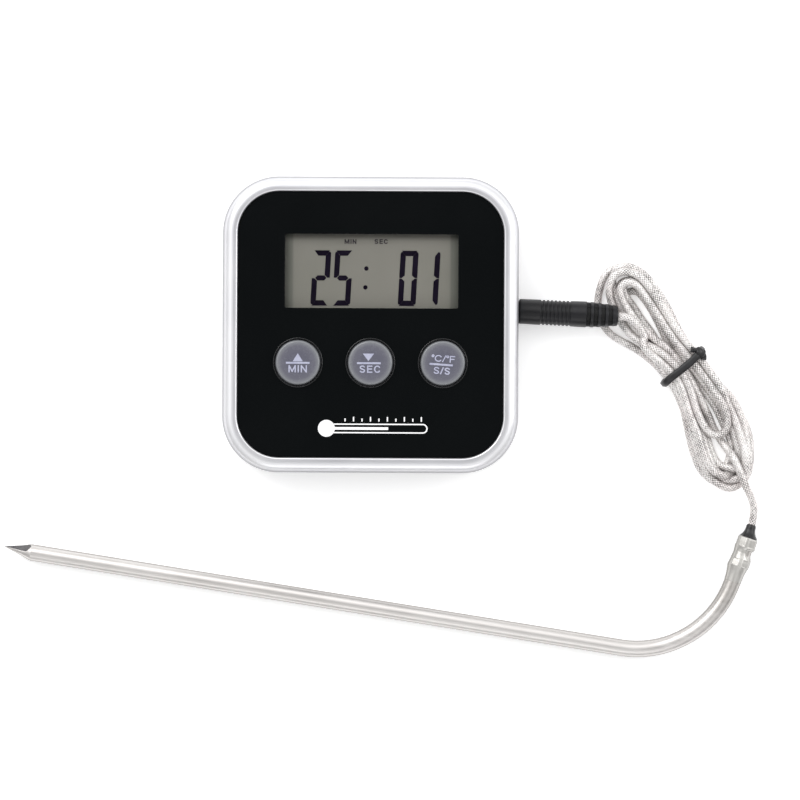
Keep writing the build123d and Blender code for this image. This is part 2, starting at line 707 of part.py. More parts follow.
# ================================================================== stand and slide switch
with BuildPart() as stand:
    # plate, lying in its well
    with BuildSketch(Plane.XY.offset(STAND_BOTTOM)):
        with Locations((0, (STAND_TIP_Y + STAND_AXIS_Y + STAND_HEEL) / 2)):
            Rectangle(STAND_WIDTH, STAND_AXIS_Y + STAND_HEEL - STAND_TIP_Y)
    extrude(amount=STAND_THICK)
    fillet(stand.edges().filter_by(Axis.Z).group_by(Axis.Y)[0], 3.0)
    # shallow panel pressed into its outer face, and a grip at its tip
    with BuildSketch(Plane.XY.offset(STAND_BOTTOM)):
        with Locations((0, -8.5)):
            RectangleRounded(STAND_WIDTH - 7, 30, 2)
    extrude(amount=0.4, mode=Mode.SUBTRACT)
    with BuildSketch(Plane.XY.offset(STAND_BOTTOM)):
        with GridLocations(0, 1.7, 1, 3):
            with Locations((0, -27.3)):
                SlotOverall(10, 0.8)
    extrude(amount=0.4, mode=Mode.SUBTRACT)
    # pivot pins
    with BuildSketch(Plane.YZ):
        with Locations((STAND_AXIS_Y, STAND_AXIS_Z)):
            Circle(STAND_PIN_R)
    extrude(amount=STAND_WIDTH / 2 + STAND_PIN_LENGTH, both=True)
stand.part.label = "stand"
export_step(stand.part, "parts/stand.step")

KNOB_Y = SWITCH[1] - SWITCH_TRAVEL / 2
with BuildPart() as mode_switch_knob:
    with BuildSketch(Plane.XY.offset(0.25)):
        with Locations((SWITCH[0], KNOB_Y)):
            Rectangle(3.8, 4.4)
    extrude(amount=0.65)
    # finger ribs
    with BuildSketch(Plane.XY.offset(0.25)):
        with GridLocations(0, 1.2, 1, 3):
            with Locations((SWITCH[0], KNOB_Y)):
                Rectangle(3.8, 0.5)
    extrude(amount=0.3, mode=Mode.SUBTRACT)
    # stem to the switch's slider
    with BuildSketch(Plane.XY.offset(0.9)):
        with Locations((SWITCH[0], KNOB_Y)):
            Rectangle(1.6, 3.0)
    extrude(amount=3.9)
mode_switch_knob.part.label = "mode_switch_knob"
export_step(mode_switch_knob.part, "parts/mode_switch_knob.step")

with BuildPart() as mode_switch_body:
    with BuildSketch(Plane.XY.offset(5.0)):
        with Locations(SWITCH):
            Rectangle(4.4, 9.0)
    extrude(amount=BOARD_BOTTOM - 5.0)
mode_switch_body.part.label = "mode_switch_body"
export_step(mode_switch_body.part, "parts/mode_switch_body.step")

# ================================================================== jack and plug
# along the shared axis 0 is the housing's side; the jack is behind it and the plug in front
BORE_R = SHAFT_R + SHAFT_FIT
with BuildPart() as probe_jack:
    with BuildSketch(cross_plane(JACK_MOUTH - PLUG_WAY * (WALL + 0.4), -PLUG_DIP)):
        Rectangle(6.4, 5.0)
    extrude(amount=-(JACK_LENGTH - WALL - 0.4))
    with BuildSketch(cross_plane(JACK_MOUTH - PLUG_WAY * (WALL + 0.4), -PLUG_DIP)):
        Circle(JACK_NOZZLE_R)
    extrude(amount=WALL + 0.25)
    with BuildSketch(cross_plane(JACK_MOUTH, -PLUG_DIP)):
        Circle(BORE_R)
    extrude(amount=-(JACK_LENGTH + 1), mode=Mode.SUBTRACT)
    # room for the contacts: a ring near the mouth and a slot beside the plug's tip
    with BuildSketch(cross_plane(JACK_MOUTH - PLUG_WAY * 3.4, -PLUG_DIP)):
        Circle(BORE_R + 0.45)
    extrude(amount=-1.6, mode=Mode.SUBTRACT)
    with BuildSketch(cross_plane(JACK_MOUTH - PLUG_WAY * 8.8, -PLUG_DIP)):
        with Locations((0, BORE_R + 0.3)):
            Rectangle(1.6, 1.4)
    extrude(amount=-(JACK_LENGTH - 8.8), mode=Mode.SUBTRACT)
probe_jack.part.label = "probe_jack"
export_step(probe_jack.part, "parts/probe_jack.step")

with BuildPart() as jack_contacts:
    with BuildSketch(cross_plane(JACK_MOUTH - PLUG_WAY * 3.4, -PLUG_DIP)):
        Circle(BORE_R + 0.4)
        Circle(BORE_R, mode=Mode.SUBTRACT)
    extrude(amount=-1.5)
    with BuildSketch(cross_plane(JACK_MOUTH - PLUG_WAY * 9.0, -PLUG_DIP)):
        with Locations((0, BORE_R + 0.45)):
            Rectangle(1.4, 0.3)
    extrude(amount=-(JACK_LENGTH - 8.6))
jack_contacts.part.label = "jack_contacts"
export_step(jack_contacts.part, "parts/jack_contacts.step")


def make_turned(plane, axis, profile):
    """A piece turned about an axis from (radius, distance along the axis) points."""
    with BuildPart() as turned:
        with BuildSketch(plane):
            with BuildLine():
                Polyline(*profile, close=True)
            make_face()
        revolve(axis=axis)
    return turned


TIP_REAR = -8.7
INSULATOR_REAR = -8.1
plug_tip = make_turned(
    PLUG_PLANE,
    PLUG_AXIS,
    [
        (0, TIP_REAR),
        (SHAFT_R, TIP_REAR),
        (SHAFT_R, TIP_REAR - 0.35),
        (0.85, TIP_REAR - 0.8),
        (SHAFT_R - 0.05, TIP_REAR - 1.45),
        (0.35, -SHAFT_LENGTH),
        (0, -SHAFT_LENGTH),
    ],
)
plug_tip.part.label = "plug_tip"
export_step(plug_tip.part, "parts/plug_tip.step")

plug_insulator = make_turned(
    PLUG_PLANE,
    PLUG_AXIS,
    [(0, TIP_REAR), (SHAFT_R, TIP_REAR), (SHAFT_R, INSULATOR_REAR), (0, INSULATOR_REAR)],
)
plug_insulator.part.label = "plug_insulator"
export_step(plug_insulator.part, "parts/plug_insulator.step")

plug_sleeve = make_turned(
    PLUG_PLANE,
    PLUG_AXIS,
    [(0, INSULATOR_REAR), (SHAFT_R, INSULATOR_REAR), (SHAFT_R, PLUG_GAP), (0, PLUG_GAP)],
)
plug_sleeve.part.label = "plug_sleeve"
export_step(plug_sleeve.part, "parts/plug_sleeve.step")

# moulded boot: plain collar, ribbed grip, plain neck and a ribbed strain relief that tapers
GRIP_START = 5.5
GRIP_PITCH = 0.95
GRIP_RINGS = 8
GRIP_DEPTH = 0.22
RELIEF_START = 16.5
RELIEF_PITCH = 1.75
RELIEF_RIBS = 4
RELIEF_DEPTH = 0.55
BOOT_WIDE = PLUG_R + 0.12
boot_profile = [
    (0, PLUG_GAP),
    (PLUG_R - 0.3, PLUG_GAP),
    (PLUG_R, PLUG_GAP + 0.3),
    (PLUG_R + 0.05, GRIP_START),
]
for ring in range(GRIP_RINGS):
    start = GRIP_START + ring * GRIP_PITCH
    boot_profile += [
        (PLUG_R + 0.05 - GRIP_DEPTH, start + 0.12),
        (PLUG_R + 0.05 - GRIP_DEPTH, start + 0.40),
        (PLUG_R + 0.08, start + 0.55),
        (PLUG_R + 0.08, start + GRIP_PITCH),
    ]
boot_profile += [(BOOT_WIDE, RELIEF_START - 1.0), (BOOT_WIDE, RELIEF_START)]
for rib in range(RELIEF_RIBS):
    start = RELIEF_START + rib * RELIEF_PITCH
    shrink = (BOOT_WIDE - PLUG_TAIL_R) / RELIEF_RIBS
    outer = BOOT_WIDE - rib * shrink
    boot_profile += [
        (outer - RELIEF_DEPTH, start + 0.1),
        (outer - RELIEF_DEPTH, start + 0.85),
        (outer - shrink * 0.5, start + 0.95),
        (outer - shrink, start + RELIEF_PITCH),
    ]
boot_profile += [(PLUG_TAIL_R - 0.1, PLUG_LENGTH), (0, PLUG_LENGTH)]
plug_boot = make_turned(PLUG_PLANE, PLUG_AXIS, boot_profile)
plug_boot.part.label = "plug_boot"
export_step(plug_boot.part, "parts/plug_boot.step")


# ================================================================== cord
def make_cord(name, points):
    radii = corner_radii(points)
    print(name, "arc radii", [round(radius, 1) for radius in radii])
    with BuildPart() as cord:
        with BuildLine() as route:
            FilletPolyline(*points, radius=radii)
        with BuildSketch(Plane(origin=route.line @ 0, z_dir=route.line % 0)):
            Circle(CORD_R)
        sweep()
    tube_volume = pi * CORD_R**2 * route.wire().length
    print(name, "volume over section and length", round(cord.part.volume / tube_volume, 4))
    return cord


# leaves the plug on its axis and turns at once down along the hank
lead_points = [
    tuple(PLUG_TAIL),
    tuple(PLUG_TAIL + PLUG_WAY * 2.6),
    (63.9, 0.5, 5.6),
    (65.9, -2.2, 4.9),
]
cable_lead = make_cord("cable_lead", lead_points)
cable_lead.part.label = "cable_lead"
export_step(cable_lead.part, "parts/cable_lead.step")

# comes off the hank's lower end and turns into the probe's cap
tail_points = [
    (87.0, -31.0, 4.7),
    (88.7, -34.8, 4.8),
    (90.1, -38.2, 4.3),
    (91.6, -40.9, 3.0),
    tuple(CAP_TOP + CAP_WAY * 3.3),
    tuple(CAP_TOP),
]
cable_tail = make_cord("cable_tail", tail_points)
cable_tail.part.label = "cable_tail"
export_step(cable_tail.part, "parts/cable_tail.step")

# outer shape of the wound part of the cord: two lobes either side of the tie
HANK_OUTLINE = [
    (59.3, 16.0),
    (63.2, 14.6),
    (69.0, 8.3),
    (73.2, 1.6),
    (78.0, -7.0),
    (85.4, -14.1),
    (90.1, -21.6),
    (92.2, -30.0),
    (92.2, -36.4),
    (89.4, -39.2),
    (84.5, -39.0),
    (79.6, -35.4),
    (76.1, -25.9),
    (71.7, -12.0),
    (66.3, -7.8),
    (61.6, -1.5),
    (61.0, 3.2),
    (59.2, 6.4),
    (56.2, 7.0),
    (53.7, 10.9),
    (55.4, 14.6),
]
TIE_CENTRE = Vector(*TIE, HANK_BOTTOM + TIE_THICK + TIE_INNER[1] / 2 - 0.1)
TIE_PLANE = Plane(
    origin=TIE_CENTRE,
    x_dir=heading_vector(TIE_HEADING),
    z_dir=heading_vector(TIE_HEADING).cross(Vector(0, 0, 1)),
)
with BuildPart() as cable_hank:
    with BuildSketch(Plane.XY.offset(HANK_BOTTOM)):
        with BuildLine():
            Spline(*HANK_OUTLINE, periodic=True)
        make_face()
    extrude(amount=HANK_HEIGHT)
    chamfer(cable_hank.faces().filter_by(Axis.Z).edges(), 1.2)
    # waist drawn in by the tie
    with BuildSketch(TIE_PLANE):
        Rectangle(2 * TIE_INNER[0], 3 * TIE_INNER[1])
        RectangleRounded(*TIE_INNER, 1.6, mode=Mode.SUBTRACT)
    extrude(amount=TIE_WIDTH / 2 + 0.1, both=True, mode=Mode.SUBTRACT)
cable_hank.part.label = "cable_hank"
export_step(cable_hank.part, "parts/cable_hank.step")

# loop round the waist, with its ends twisted together at the upper right
with BuildPart() as twist_tie:
    with BuildSketch(TIE_PLANE):
        RectangleRounded(TIE_INNER[0] + 2 * TIE_THICK, TIE_INNER[1] + 2 * TIE_THICK, 1.6 + TIE_THICK)
        RectangleRounded(*TIE_INNER, 1.6, mode=Mode.SUBTRACT)
    extrude(amount=TIE_WIDTH / 2, both=True)
    with BuildSketch(TIE_PLANE.offset(-1.0)):
        with Locations((TIE_INNER[0] / 2 - 0.3, TIE_INNER[1] / 2 + TIE_THICK)):
            Circle(1.15)
    extrude(amount=3.6)
twist_tie.part.label = "twist_tie"
export_step(twist_tie.part, "parts/twist_tie.step")

# ================================================================== probe
TUBE_END = MOUTH - END_WAY * FERRULE_MOUTH


def probe_route(start, end, side=0.0):
    """Straight, bend and straight along the probe's axis, shifted up or down inside the tube."""
    lift = Vector(0, 0, side)
    Line(TIP + PROBE_WAY * start + lift, BEND_START + lift)
    ThreePointArc(BEND_START + lift, BEND_MID + lift, BEND_END + lift)
    Line(BEND_END + lift, end + lift)


with BuildPart() as probe_tube:
    with BuildLine() as tube_line:
        probe_route(PROBE_TIP_LENGTH, TUBE_END)
    with BuildSketch(Plane(origin=tube_line.line @ 0, z_dir=tube_line.line % 0)):
        Circle(PROBE_R)
        Circle(PROBE_R - PROBE_WALL, mode=Mode.SUBTRACT)
    sweep()
probe_tube.part.label = "probe_tube"
export_step(probe_tube.part, "parts/probe_tube.step")

PROBE_AXIS = Axis(TIP, PROBE_WAY)
with BuildPart() as probe_tip:
    with BuildSketch(turning_plane(TIP, PROBE_HEADING)):
        with BuildLine():
            Polyline(
                (0, 0),
                (0.25, 0.25),
                (1.05, 2.6),
                (1.72, 5.0),
                (PROBE_R, PROBE_TIP_LENGTH),
                (PROBE_R - PROBE_WALL, PROBE_TIP_LENGTH),
                (PROBE_R - PROBE_WALL, PROBE_TIP_LENGTH + 1.5),
                (0, PROBE_TIP_LENGTH + 1.5),
                close=True,
            )
        make_face()
    revolve(axis=PROBE_AXIS)
probe_tip.part.label = "probe_tip"
export_step(probe_tip.part, "parts/probe_tip.step")

with BuildPart() as thermistor:
    with Locations(TIP + PROBE_WAY * (PROBE_TIP_LENGTH + 3.4)):
        Sphere(0.9)
thermistor.part.label = "thermistor"
export_step(thermistor.part, "parts/thermistor.step")


def sensor_wire(side):
    """One insulated lead from the thermistor to the cord's end."""
    with BuildPart() as wire:
        with BuildLine() as wire_line:
            probe_route(PROBE_TIP_LENGTH + 4.6, MOUTH - END_WAY * 0.6, side)
        with BuildSketch(Plane(origin=wire_line.line @ 0, z_dir=wire_line.line % 0)):
            Circle(0.4)
        sweep()
    return wire.part


upper_wire = sensor_wire(0.6)
lower_wire = sensor_wire(-0.6)
with BuildPart() as sensor_wires:
    add(upper_wire)
    add(lower_wire)
sensor_wires.part.label = "sensor_wires"
export_step(sensor_wires.part, "parts/sensor_wires.step")

# crimped sleeve: two collars with a waist between them, the first one crimped to six flats
FERRULE_PLANE = turning_plane(MOUTH, PROBE_END_HEADING)
FERRULE_AXIS = Axis(MOUTH, END_WAY)
with BuildPart() as probe_ferrule:
    with BuildSketch(FERRULE_PLANE):
        with BuildLine():
            Polyline(
                (FERRULE_R - 0.3, 0),
                (FERRULE_R, -0.15),
                (FERRULE_R - 0.05, -2.5),
                (FERRULE_R - 0.25, -2.8),
                (FERRULE_R - 0.28, -4.8),
                (FERRULE_R - 0.08, -5.3),
                (FERRULE_R - 0.05, -7.9),
                (PROBE_R + 0.05, -FERRULE_LENGTH),
                (PROBE_R, -FERRULE_LENGTH),
                (PROBE_R, -FERRULE_MOUTH),
                (PROBE_R - PROBE_WALL, -FERRULE_MOUTH),
                (PROBE_R - PROBE_WALL, -1.2),
                (FERRULE_R - 0.3, -1.0),
                close=True,
            )
        make_face()
    revolve(axis=FERRULE_AXIS)
    with BuildSketch(cross_plane(MOUTH - END_WAY * 0.3, PROBE_END_HEADING)):
        Circle(FERRULE_R + 1)
        RegularPolygon(FERRULE_R - 0.09, 6, major_radius=False, mode=Mode.SUBTRACT)
    extrude(amount=-1.9, mode=Mode.SUBTRACT)
probe_ferrule.part.label = "probe_ferrule"
export_step(probe_ferrule.part, "parts/probe_ferrule.step")

probe_cap = make_turned(
    turning_plane(MOUTH, CAP_HEADING),
    Axis(MOUTH, CAP_WAY),
    [
        (0, -0.5),
        (2.05, -0.5),
        (2.2, 0.15),
        (1.75, 0.8),
        (1.4, 2.1),
        (1.25, 2.8),
        (CORD_R + 0.05, CAP_LENGTH),
        (0, CAP_LENGTH),
    ],
)
probe_cap.part.label = "probe_cap"
export_step(probe_cap.part, "parts/probe_cap.step")
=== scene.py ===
"""Looks of the probe cooking thermometer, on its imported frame.

Blender works in metres. Shapes are worked out in millimetres, and MM turns them into metres.
"""
import json
import math

import bpy
import numpy as np
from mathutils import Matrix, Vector


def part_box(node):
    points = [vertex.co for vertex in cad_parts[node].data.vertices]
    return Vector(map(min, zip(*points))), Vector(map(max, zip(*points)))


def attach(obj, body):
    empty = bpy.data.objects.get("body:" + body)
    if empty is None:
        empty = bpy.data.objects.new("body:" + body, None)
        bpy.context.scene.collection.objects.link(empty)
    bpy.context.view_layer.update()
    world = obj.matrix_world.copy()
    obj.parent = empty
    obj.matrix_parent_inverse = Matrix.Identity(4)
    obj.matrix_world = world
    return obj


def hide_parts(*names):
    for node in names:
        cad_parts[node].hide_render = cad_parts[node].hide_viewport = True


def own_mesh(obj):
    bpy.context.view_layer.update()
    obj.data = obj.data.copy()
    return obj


MM = 0.001
UP = np.array((0.0, 0.0, 1.0))
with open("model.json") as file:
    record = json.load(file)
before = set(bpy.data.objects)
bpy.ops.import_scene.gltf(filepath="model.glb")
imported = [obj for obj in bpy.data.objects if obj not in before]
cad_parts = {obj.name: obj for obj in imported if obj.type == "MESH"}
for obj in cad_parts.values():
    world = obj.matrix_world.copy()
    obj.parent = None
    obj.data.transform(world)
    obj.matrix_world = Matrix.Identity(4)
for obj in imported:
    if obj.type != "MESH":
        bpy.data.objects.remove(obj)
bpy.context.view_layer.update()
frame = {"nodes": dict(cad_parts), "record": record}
scene = bpy.context.scene
nodes = frame["nodes"]
# middle of each key, in millimetres
KEYS = {"minutes": -17.1, "seconds": 0.0, "mode": 17.1}
KEY_Y = -9.0

# ---------- camera
lens = bpy.data.cameras.new("camera")
lens.lens = 158.79
lens.sensor_width = 36.0
lens.clip_start, lens.clip_end = 0.02, 20.0
camera = bpy.data.objects.new("camera", lens)
camera.location = (0.007047, -0.017736, 0.850)
camera.rotation_euler = (0.0, 0.0, math.radians(0.3))
scene.collection.objects.link(camera)
scene.camera = camera
scene.view_settings.view_transform = "Standard"
scene.view_settings.look = "None"


# ---------- lines (millimetres)
def ease(f):
    """A smooth step from zero at zero to one at one."""
    f = np.clip(f, 0.0, 1.0)
    return f * f * (3.0 - 2.0 * f)


def level(angle):
    """Level direction at an angle from +X."""
    return np.array((math.cos(angle), math.sin(angle), 0.0))


def round_steps(count):
    """Angles of even steps round a circle."""
    return np.arange(count) * 2 * np.pi / count


def angle_from(angle, middle):
    """Angles from a middle one, within half a turn."""
    return np.arctan2(np.sin(angle - middle), np.cos(angle - middle))


def distances(line):
    """Distance along a line to each of its points."""
    return np.concatenate([[0.0], np.cumsum(np.linalg.norm(np.diff(line, axis=0), axis=1))])


def ways_along(line):
    """Direction of a line at each of its points."""
    way = np.gradient(line, axis=0)
    return way / np.linalg.norm(way, axis=1)[:, None]


def frames_along(line):
    """Two directions across a line at each point, turned as little as possible."""
    way = ways_along(line)
    side = np.cross(way[0], UP)
    side /= np.linalg.norm(side)
    sides = [side]
    for t in way[1:]:
        side = side - t * (side @ t)
        side /= np.linalg.norm(side)
        sides.append(side)
    sides = np.array(sides)
    return sides, np.cross(way, sides)


def spaced(line, step):
    """The line again, with points step apart."""
    run = distances(line)
    at = np.linspace(0.0, run[-1], int(round(run[-1] / step)) + 1)
    return np.stack([np.interp(at, run, part) for part in line.T], axis=1)


def catmull(points, count):
    """A smooth line through every point, with count points in each stretch."""
    p = np.asarray(points, float)
    p = np.vstack([2 * p[0] - p[1], p, 2 * p[-1] - p[-2]])
    t = np.linspace(0.0, 1.0, count, endpoint=False)[:, None]
    parts = []
    for a, b, c, d in zip(p, p[1:], p[2:], p[3:]):
        bend = (2 * a - 5 * b + 4 * c - d) * t**2 + (3 * b - a - 3 * c + d) * t**3
        parts.append(0.5 * (2 * b + (c - a) * t + bend))
    return np.vstack(parts + [p[-2][None]])


def nurbs_line(points, resolution):
    """Points along the smooth open curve that has these control points."""
    curve = bpy.data.curves.new("route", "CURVE")
    curve.dimensions = "3D"
    curve.resolution_u = resolution
    spline = curve.splines.new("NURBS")
    spline.points.add(len(points) - 1)
    for control, point in zip(spline.points, points):
        control.co = (*point, 1.0)
    spline.order_u = 3
    spline.use_endpoint_u = True
    holder = bpy.data.objects.new("route", curve)
    mesh = bpy.data.meshes.new_from_object(holder)
    line = np.array([v.co for v in mesh.vertices], float)
    bpy.data.meshes.remove(mesh)
    bpy.data.objects.remove(holder)
    bpy.data.curves.remove(curve)
    return line


# ---------- meshes (millimetres)
def mesh_object(name, points, faces, uvs=None, smooth=True):
    """A piece of these points and faces; uvs has one (u, v) per face corner."""
    mesh = bpy.data.meshes.new(name)
    mesh.from_pydata([tuple(p) for p in np.asarray(points, float) * MM], [], faces)
    if uvs is not None:
        layer = mesh.uv_layers.new(name="along")
        layer.data.foreach_set("uv", np.asarray(uvs, np.float32).ravel())
    mesh.update()
    if smooth:
        mesh.shade_smooth()
    piece = bpy.data.objects.new(name, mesh)
    scene.collection.objects.link(piece)
    return piece


def tube(name, line, right, up, across, rise, uvs=None):
    """Rings of points about a line, across along right and rise along up, with closed ends."""
    points = line[:, None] + across[..., None] * right[:, None] + rise[..., None] * up[:, None]
    rings, around = across.shape
    i, j = np.divmod(np.arange((rings - 1) * around), around)
    k = (j + 1) % around
    faces = np.stack([i * around + j, i * around + k, (i + 1) * around + k, (i + 1) * around + j], 1).tolist()
    if across[0].any():
        faces.append(list(range(around))[::-1])
    faces.append(list(range((rings - 1) * around, rings * around)))
    return mesh_object(name, points.reshape(-1, 3), faces, uvs)


def sweep(name, line, radius, around, uv=(1.0, 1.0)):
    """A round tube; radius[i, j] is its radius at point i and angle j."""
    line = np.asarray(line, float)
    rings = len(line)
    radius = np.broadcast_to(np.asarray(radius, float), (rings, around))
    right, up = frames_along(line)
    angle = round_steps(around)
    run = distances(line) * uv[0]
    i, j = np.divmod(np.arange((rings - 1) * around), around)
    low, high = j / around * uv[1], (j + 1) / around * uv[1]
    corners = [(run[i], low), (run[i], high), (run[i + 1], high), (run[i + 1], low)]
    walls = np.stack([np.stack(corner, 1) for corner in corners], 1).reshape(-1, 2)
    uvs = np.concatenate([walls, np.zeros((2 * around, 2))])
    return tube(name, line, right, up, radius * np.cos(angle), radius * np.sin(angle), uvs)


# ---------- materials
def srgb(*levels):
    """Linear colour of three 0 to 255 screen levels."""
    return tuple(((c / 255 + 0.055) / 1.055) ** 2.4 if c > 10 else c / 255 / 12.92 for c in levels) + (1.0,)


def fill_ramp(node, stops):
    """Gives a ramp its (position, colour) stops."""
    elements = node.color_ramp.elements
    while len(elements) < len(stops):
        elements.new(0.5)
    for element, (position, colour) in zip(elements, stops):
        element.position, element.color = position, colour


class Finish:
    """A material with short ways to add nodes: values are set, outputs are linked."""

    def __init__(self, name, **sockets):
        self.material = bpy.data.materials.new(name)
        self.material.use_nodes = True
        self.tree = self.material.node_tree
        self.surface = self.tree.nodes["Principled BSDF"]
        self.coords = self.node("ShaderNodeTexCoord").outputs
        self.set(self.surface, sockets)

    def set(self, node, sockets):
        for name, value in sockets.items():
            socket = node.inputs[name if isinstance(name, int) else name.replace("_", " ")]
            if isinstance(value, bpy.types.NodeSocket):
                self.tree.links.new(value, socket)
            else:
                socket.default_value = value

    def node(self, kind, settings=None, **sockets):
        node = self.tree.nodes.new(kind)
        for name, value in (settings or {}).items():
            setattr(node, name, value)
        self.set(node, sockets)
        return node

    def math(self, operation, a, b=0.0):
        node = self.node("ShaderNodeMath", {"operation": operation})
        self.set(node, {0: a, 1: b})
        return node.outputs[0]

    def add(self, a, b):
        return self.math("ADD", a, b)

    def minus(self, a, b):
        return self.math("SUBTRACT", a, b)

    def times(self, a, b):
        return self.math("MULTIPLY", a, b)

    def axes(self, vector):
        """X, Y and Z of a vector."""
        return self.node("ShaderNodeSeparateXYZ", Vector=vector).outputs

    def upward(self):
        """One where a surface faces up, zero where it is upright."""
        return self.axes(self.coords["Normal"])["Z"]

    def noise(self, scale, detail=2.0, rough=0.5, where=None):
        where = self.coords["Object"] if where is None else where
        node = self.node("ShaderNodeTexNoise", Vector=where, Scale=scale, Detail=detail, Roughness=rough)
        return node.outputs["Fac"]

    def ramp(self, factor, *stops):
        """A ramp of (position, screen levels) stops."""
        node = self.node("ShaderNodeValToRGB", Fac=factor)
        fill_ramp(node, [(position, srgb(*levels)) for position, levels in stops])
        return node.outputs["Color"]

    def span(self, value, low, high, to_low=0.0, to_high=1.0):
        limits = {"From_Min": low, "From_Max": high, "To_Min": to_low, "To_Max": to_high}
        return self.node("ShaderNodeMapRange", Value=value, **limits).outputs["Result"]

    def mix(self, factor, a, b, blend="MIX"):
        node = self.node("ShaderNodeMix", {"data_type": "RGBA", "blend_type": blend})
        self.set(node, {0: factor, 6: a, 7: b})
        return node.outputs[2]

    def bump(self, height, strength, distance):
        node = self.node("ShaderNodeBump", Height=height, Strength=strength, Distance=distance)
        self.set(self.surface, {"Normal": node.outputs[0]})

    def use(self, **sockets):
        self.set(self.surface, sockets)
        return self.material


def grained(name, dark, light, scale, rough=(0.3, 0.4), bump=0.15, deep=3e-5, grain=None, gloss=0.5, metal=0.0):
    """A mottled material with a fine grain in its roughness and bump."""
    f = Finish(name, Metallic=metal, Specular_IOR_Level=gloss)
    tone = f.noise(scale, 3.0)
    fine = f.noise(grain or scale * 12)
    f.bump(fine, bump, deep)
    return f.use(
        Base_Color=f.ramp(tone, (0.3, dark), (0.7, light)),
        Roughness=f.span(f.add(tone, fine), 0.7, 1.3, *rough),
    )


def silver_material():
    """Satin silver lacquer, with painted shade: greyer on the steep sides of the moulding and a little grey
    where it faces straight up.
    """
    f = Finish("satin_silver", Metallic=0.6)
    tone = f.noise(60, 3.0)
    f.bump(f.noise(2600), 0.02, 1e-5)
    # painted shade by facing: grey on the steep sides, white on the crown, a little grey on faces straight up
    painted_side_shade = f.ramp(
        f.upward(),
        (0.0, (138, 138, 141)),
        (0.42, (160, 160, 163)),
        (0.6, (208, 208, 211)),
        (0.74, (240, 240, 242)),
        (0.97, (240, 240, 242)),
        (1.0, (216, 216, 219)),
    )
    cloudy = f.ramp(tone, (0.3, (246, 246, 248)), (0.7, (254, 254, 254)))
    return f.use(Base_Color=f.mix(1.0, painted_side_shade, cloudy, "MULTIPLY"), Roughness=f.span(tone, 0.3, 0.7, 0.3, 0.36))


def lens_material():
    """Clear window with a faint even gloss."""
    f = Finish("clear_lens", Roughness=0.04, Alpha=0.05, IOR=1.49)
    return f.use(Base_Color=f.ramp(f.noise(80), (0.3, (30, 32, 32)), (0.7, (38, 40, 40))))


# the panel's window over the display, in millimetres
WINDOW_LEFT, WINDOW_RIGHT, WINDOW_TOP = -20.25, 20.65, 21.4


def display_material():
    """Grey-green liquid crystal cell, with the painted shadow of the window's edges: darker towards the
    window's ends and top.
    """
    f = Finish("display_cell", Roughness=0.5, Specular_IOR_Level=0.15)
    axes = f.axes(f.coords["Object"])
    # painted shadow of the window's edges: bands darker at the cell's ends and along its top
    ends = f.math("MINIMUM", f.minus(axes["X"], WINDOW_LEFT * MM), f.minus(WINDOW_RIGHT * MM, axes["X"]))
    end_shadow_band = f.span(ends, 1.55 * MM, 2.1 * MM)
    edge = f.span(ends, 0.0, 1.2 * MM, 0.75, 1.0)
    top_shadow = f.span(f.minus(WINDOW_TOP * MM, axes["Y"]), 0.3 * MM, 1.5 * MM, 0.55, 1.0)
    tone = f.ramp(f.noise(55), (0.3, (126, 125, 117)), (0.7, (132, 130, 123)))
    shadow_banded = f.mix(end_shadow_band, srgb(108, 109, 102), tone)
    painted_shadow = f.times(edge, top_shadow)
    light = f.node("ShaderNodeCombineColor", Red=painted_shadow, Green=painted_shadow, Blue=painted_shadow).outputs[0]
    f.bump(f.noise(3800, 1.0), 0.08, 1e-5)
    return f.use(Base_Color=f.mix(1.0, shadow_banded, light, "MULTIPLY"))


def key_material(key):
    """Smoke-grey key, paler towards its rim as a painted highlight."""
    low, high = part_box("button_" + key)
    f = Finish("smoke_key_" + key, Coat_Weight=0.1, Coat_Roughness=0.12)
    from_centre = f.node("ShaderNodeVectorMath", {"operation": "SUBTRACT"})
    f.set(from_centre, {0: f.coords["Object"], 1: ((low[0] + high[0]) / 2, (low[1] + high[1]) / 2, 0.0)})
    axes = f.axes(from_centre.outputs[0])
    reach = f.math("SQRT", f.add(f.times(axes["X"], axes["X"]), f.times(axes["Y"], axes["Y"])))
    cloudy = f.times(f.minus(f.noise(230, 3.0), 0.5), 0.3 * MM)
    # painted highlight: a paler band near the key's rim, darker towards its middle
    colour = f.ramp(
        f.span(f.add(reach, cloudy), 2.4 * MM, 5.2 * MM),
        (0.0, (94, 94, 106)),
        (0.55, (102, 102, 112)),
        (0.9, (126, 128, 132)),
        (1.0, (104, 106, 110)),
    )
    f.bump(f.noise(2600), 0.08, 1e-5)
    return f.use(Base_Color=colour, Roughness=f.span(f.noise(900), 0.3, 0.7, 0.2, 0.32))


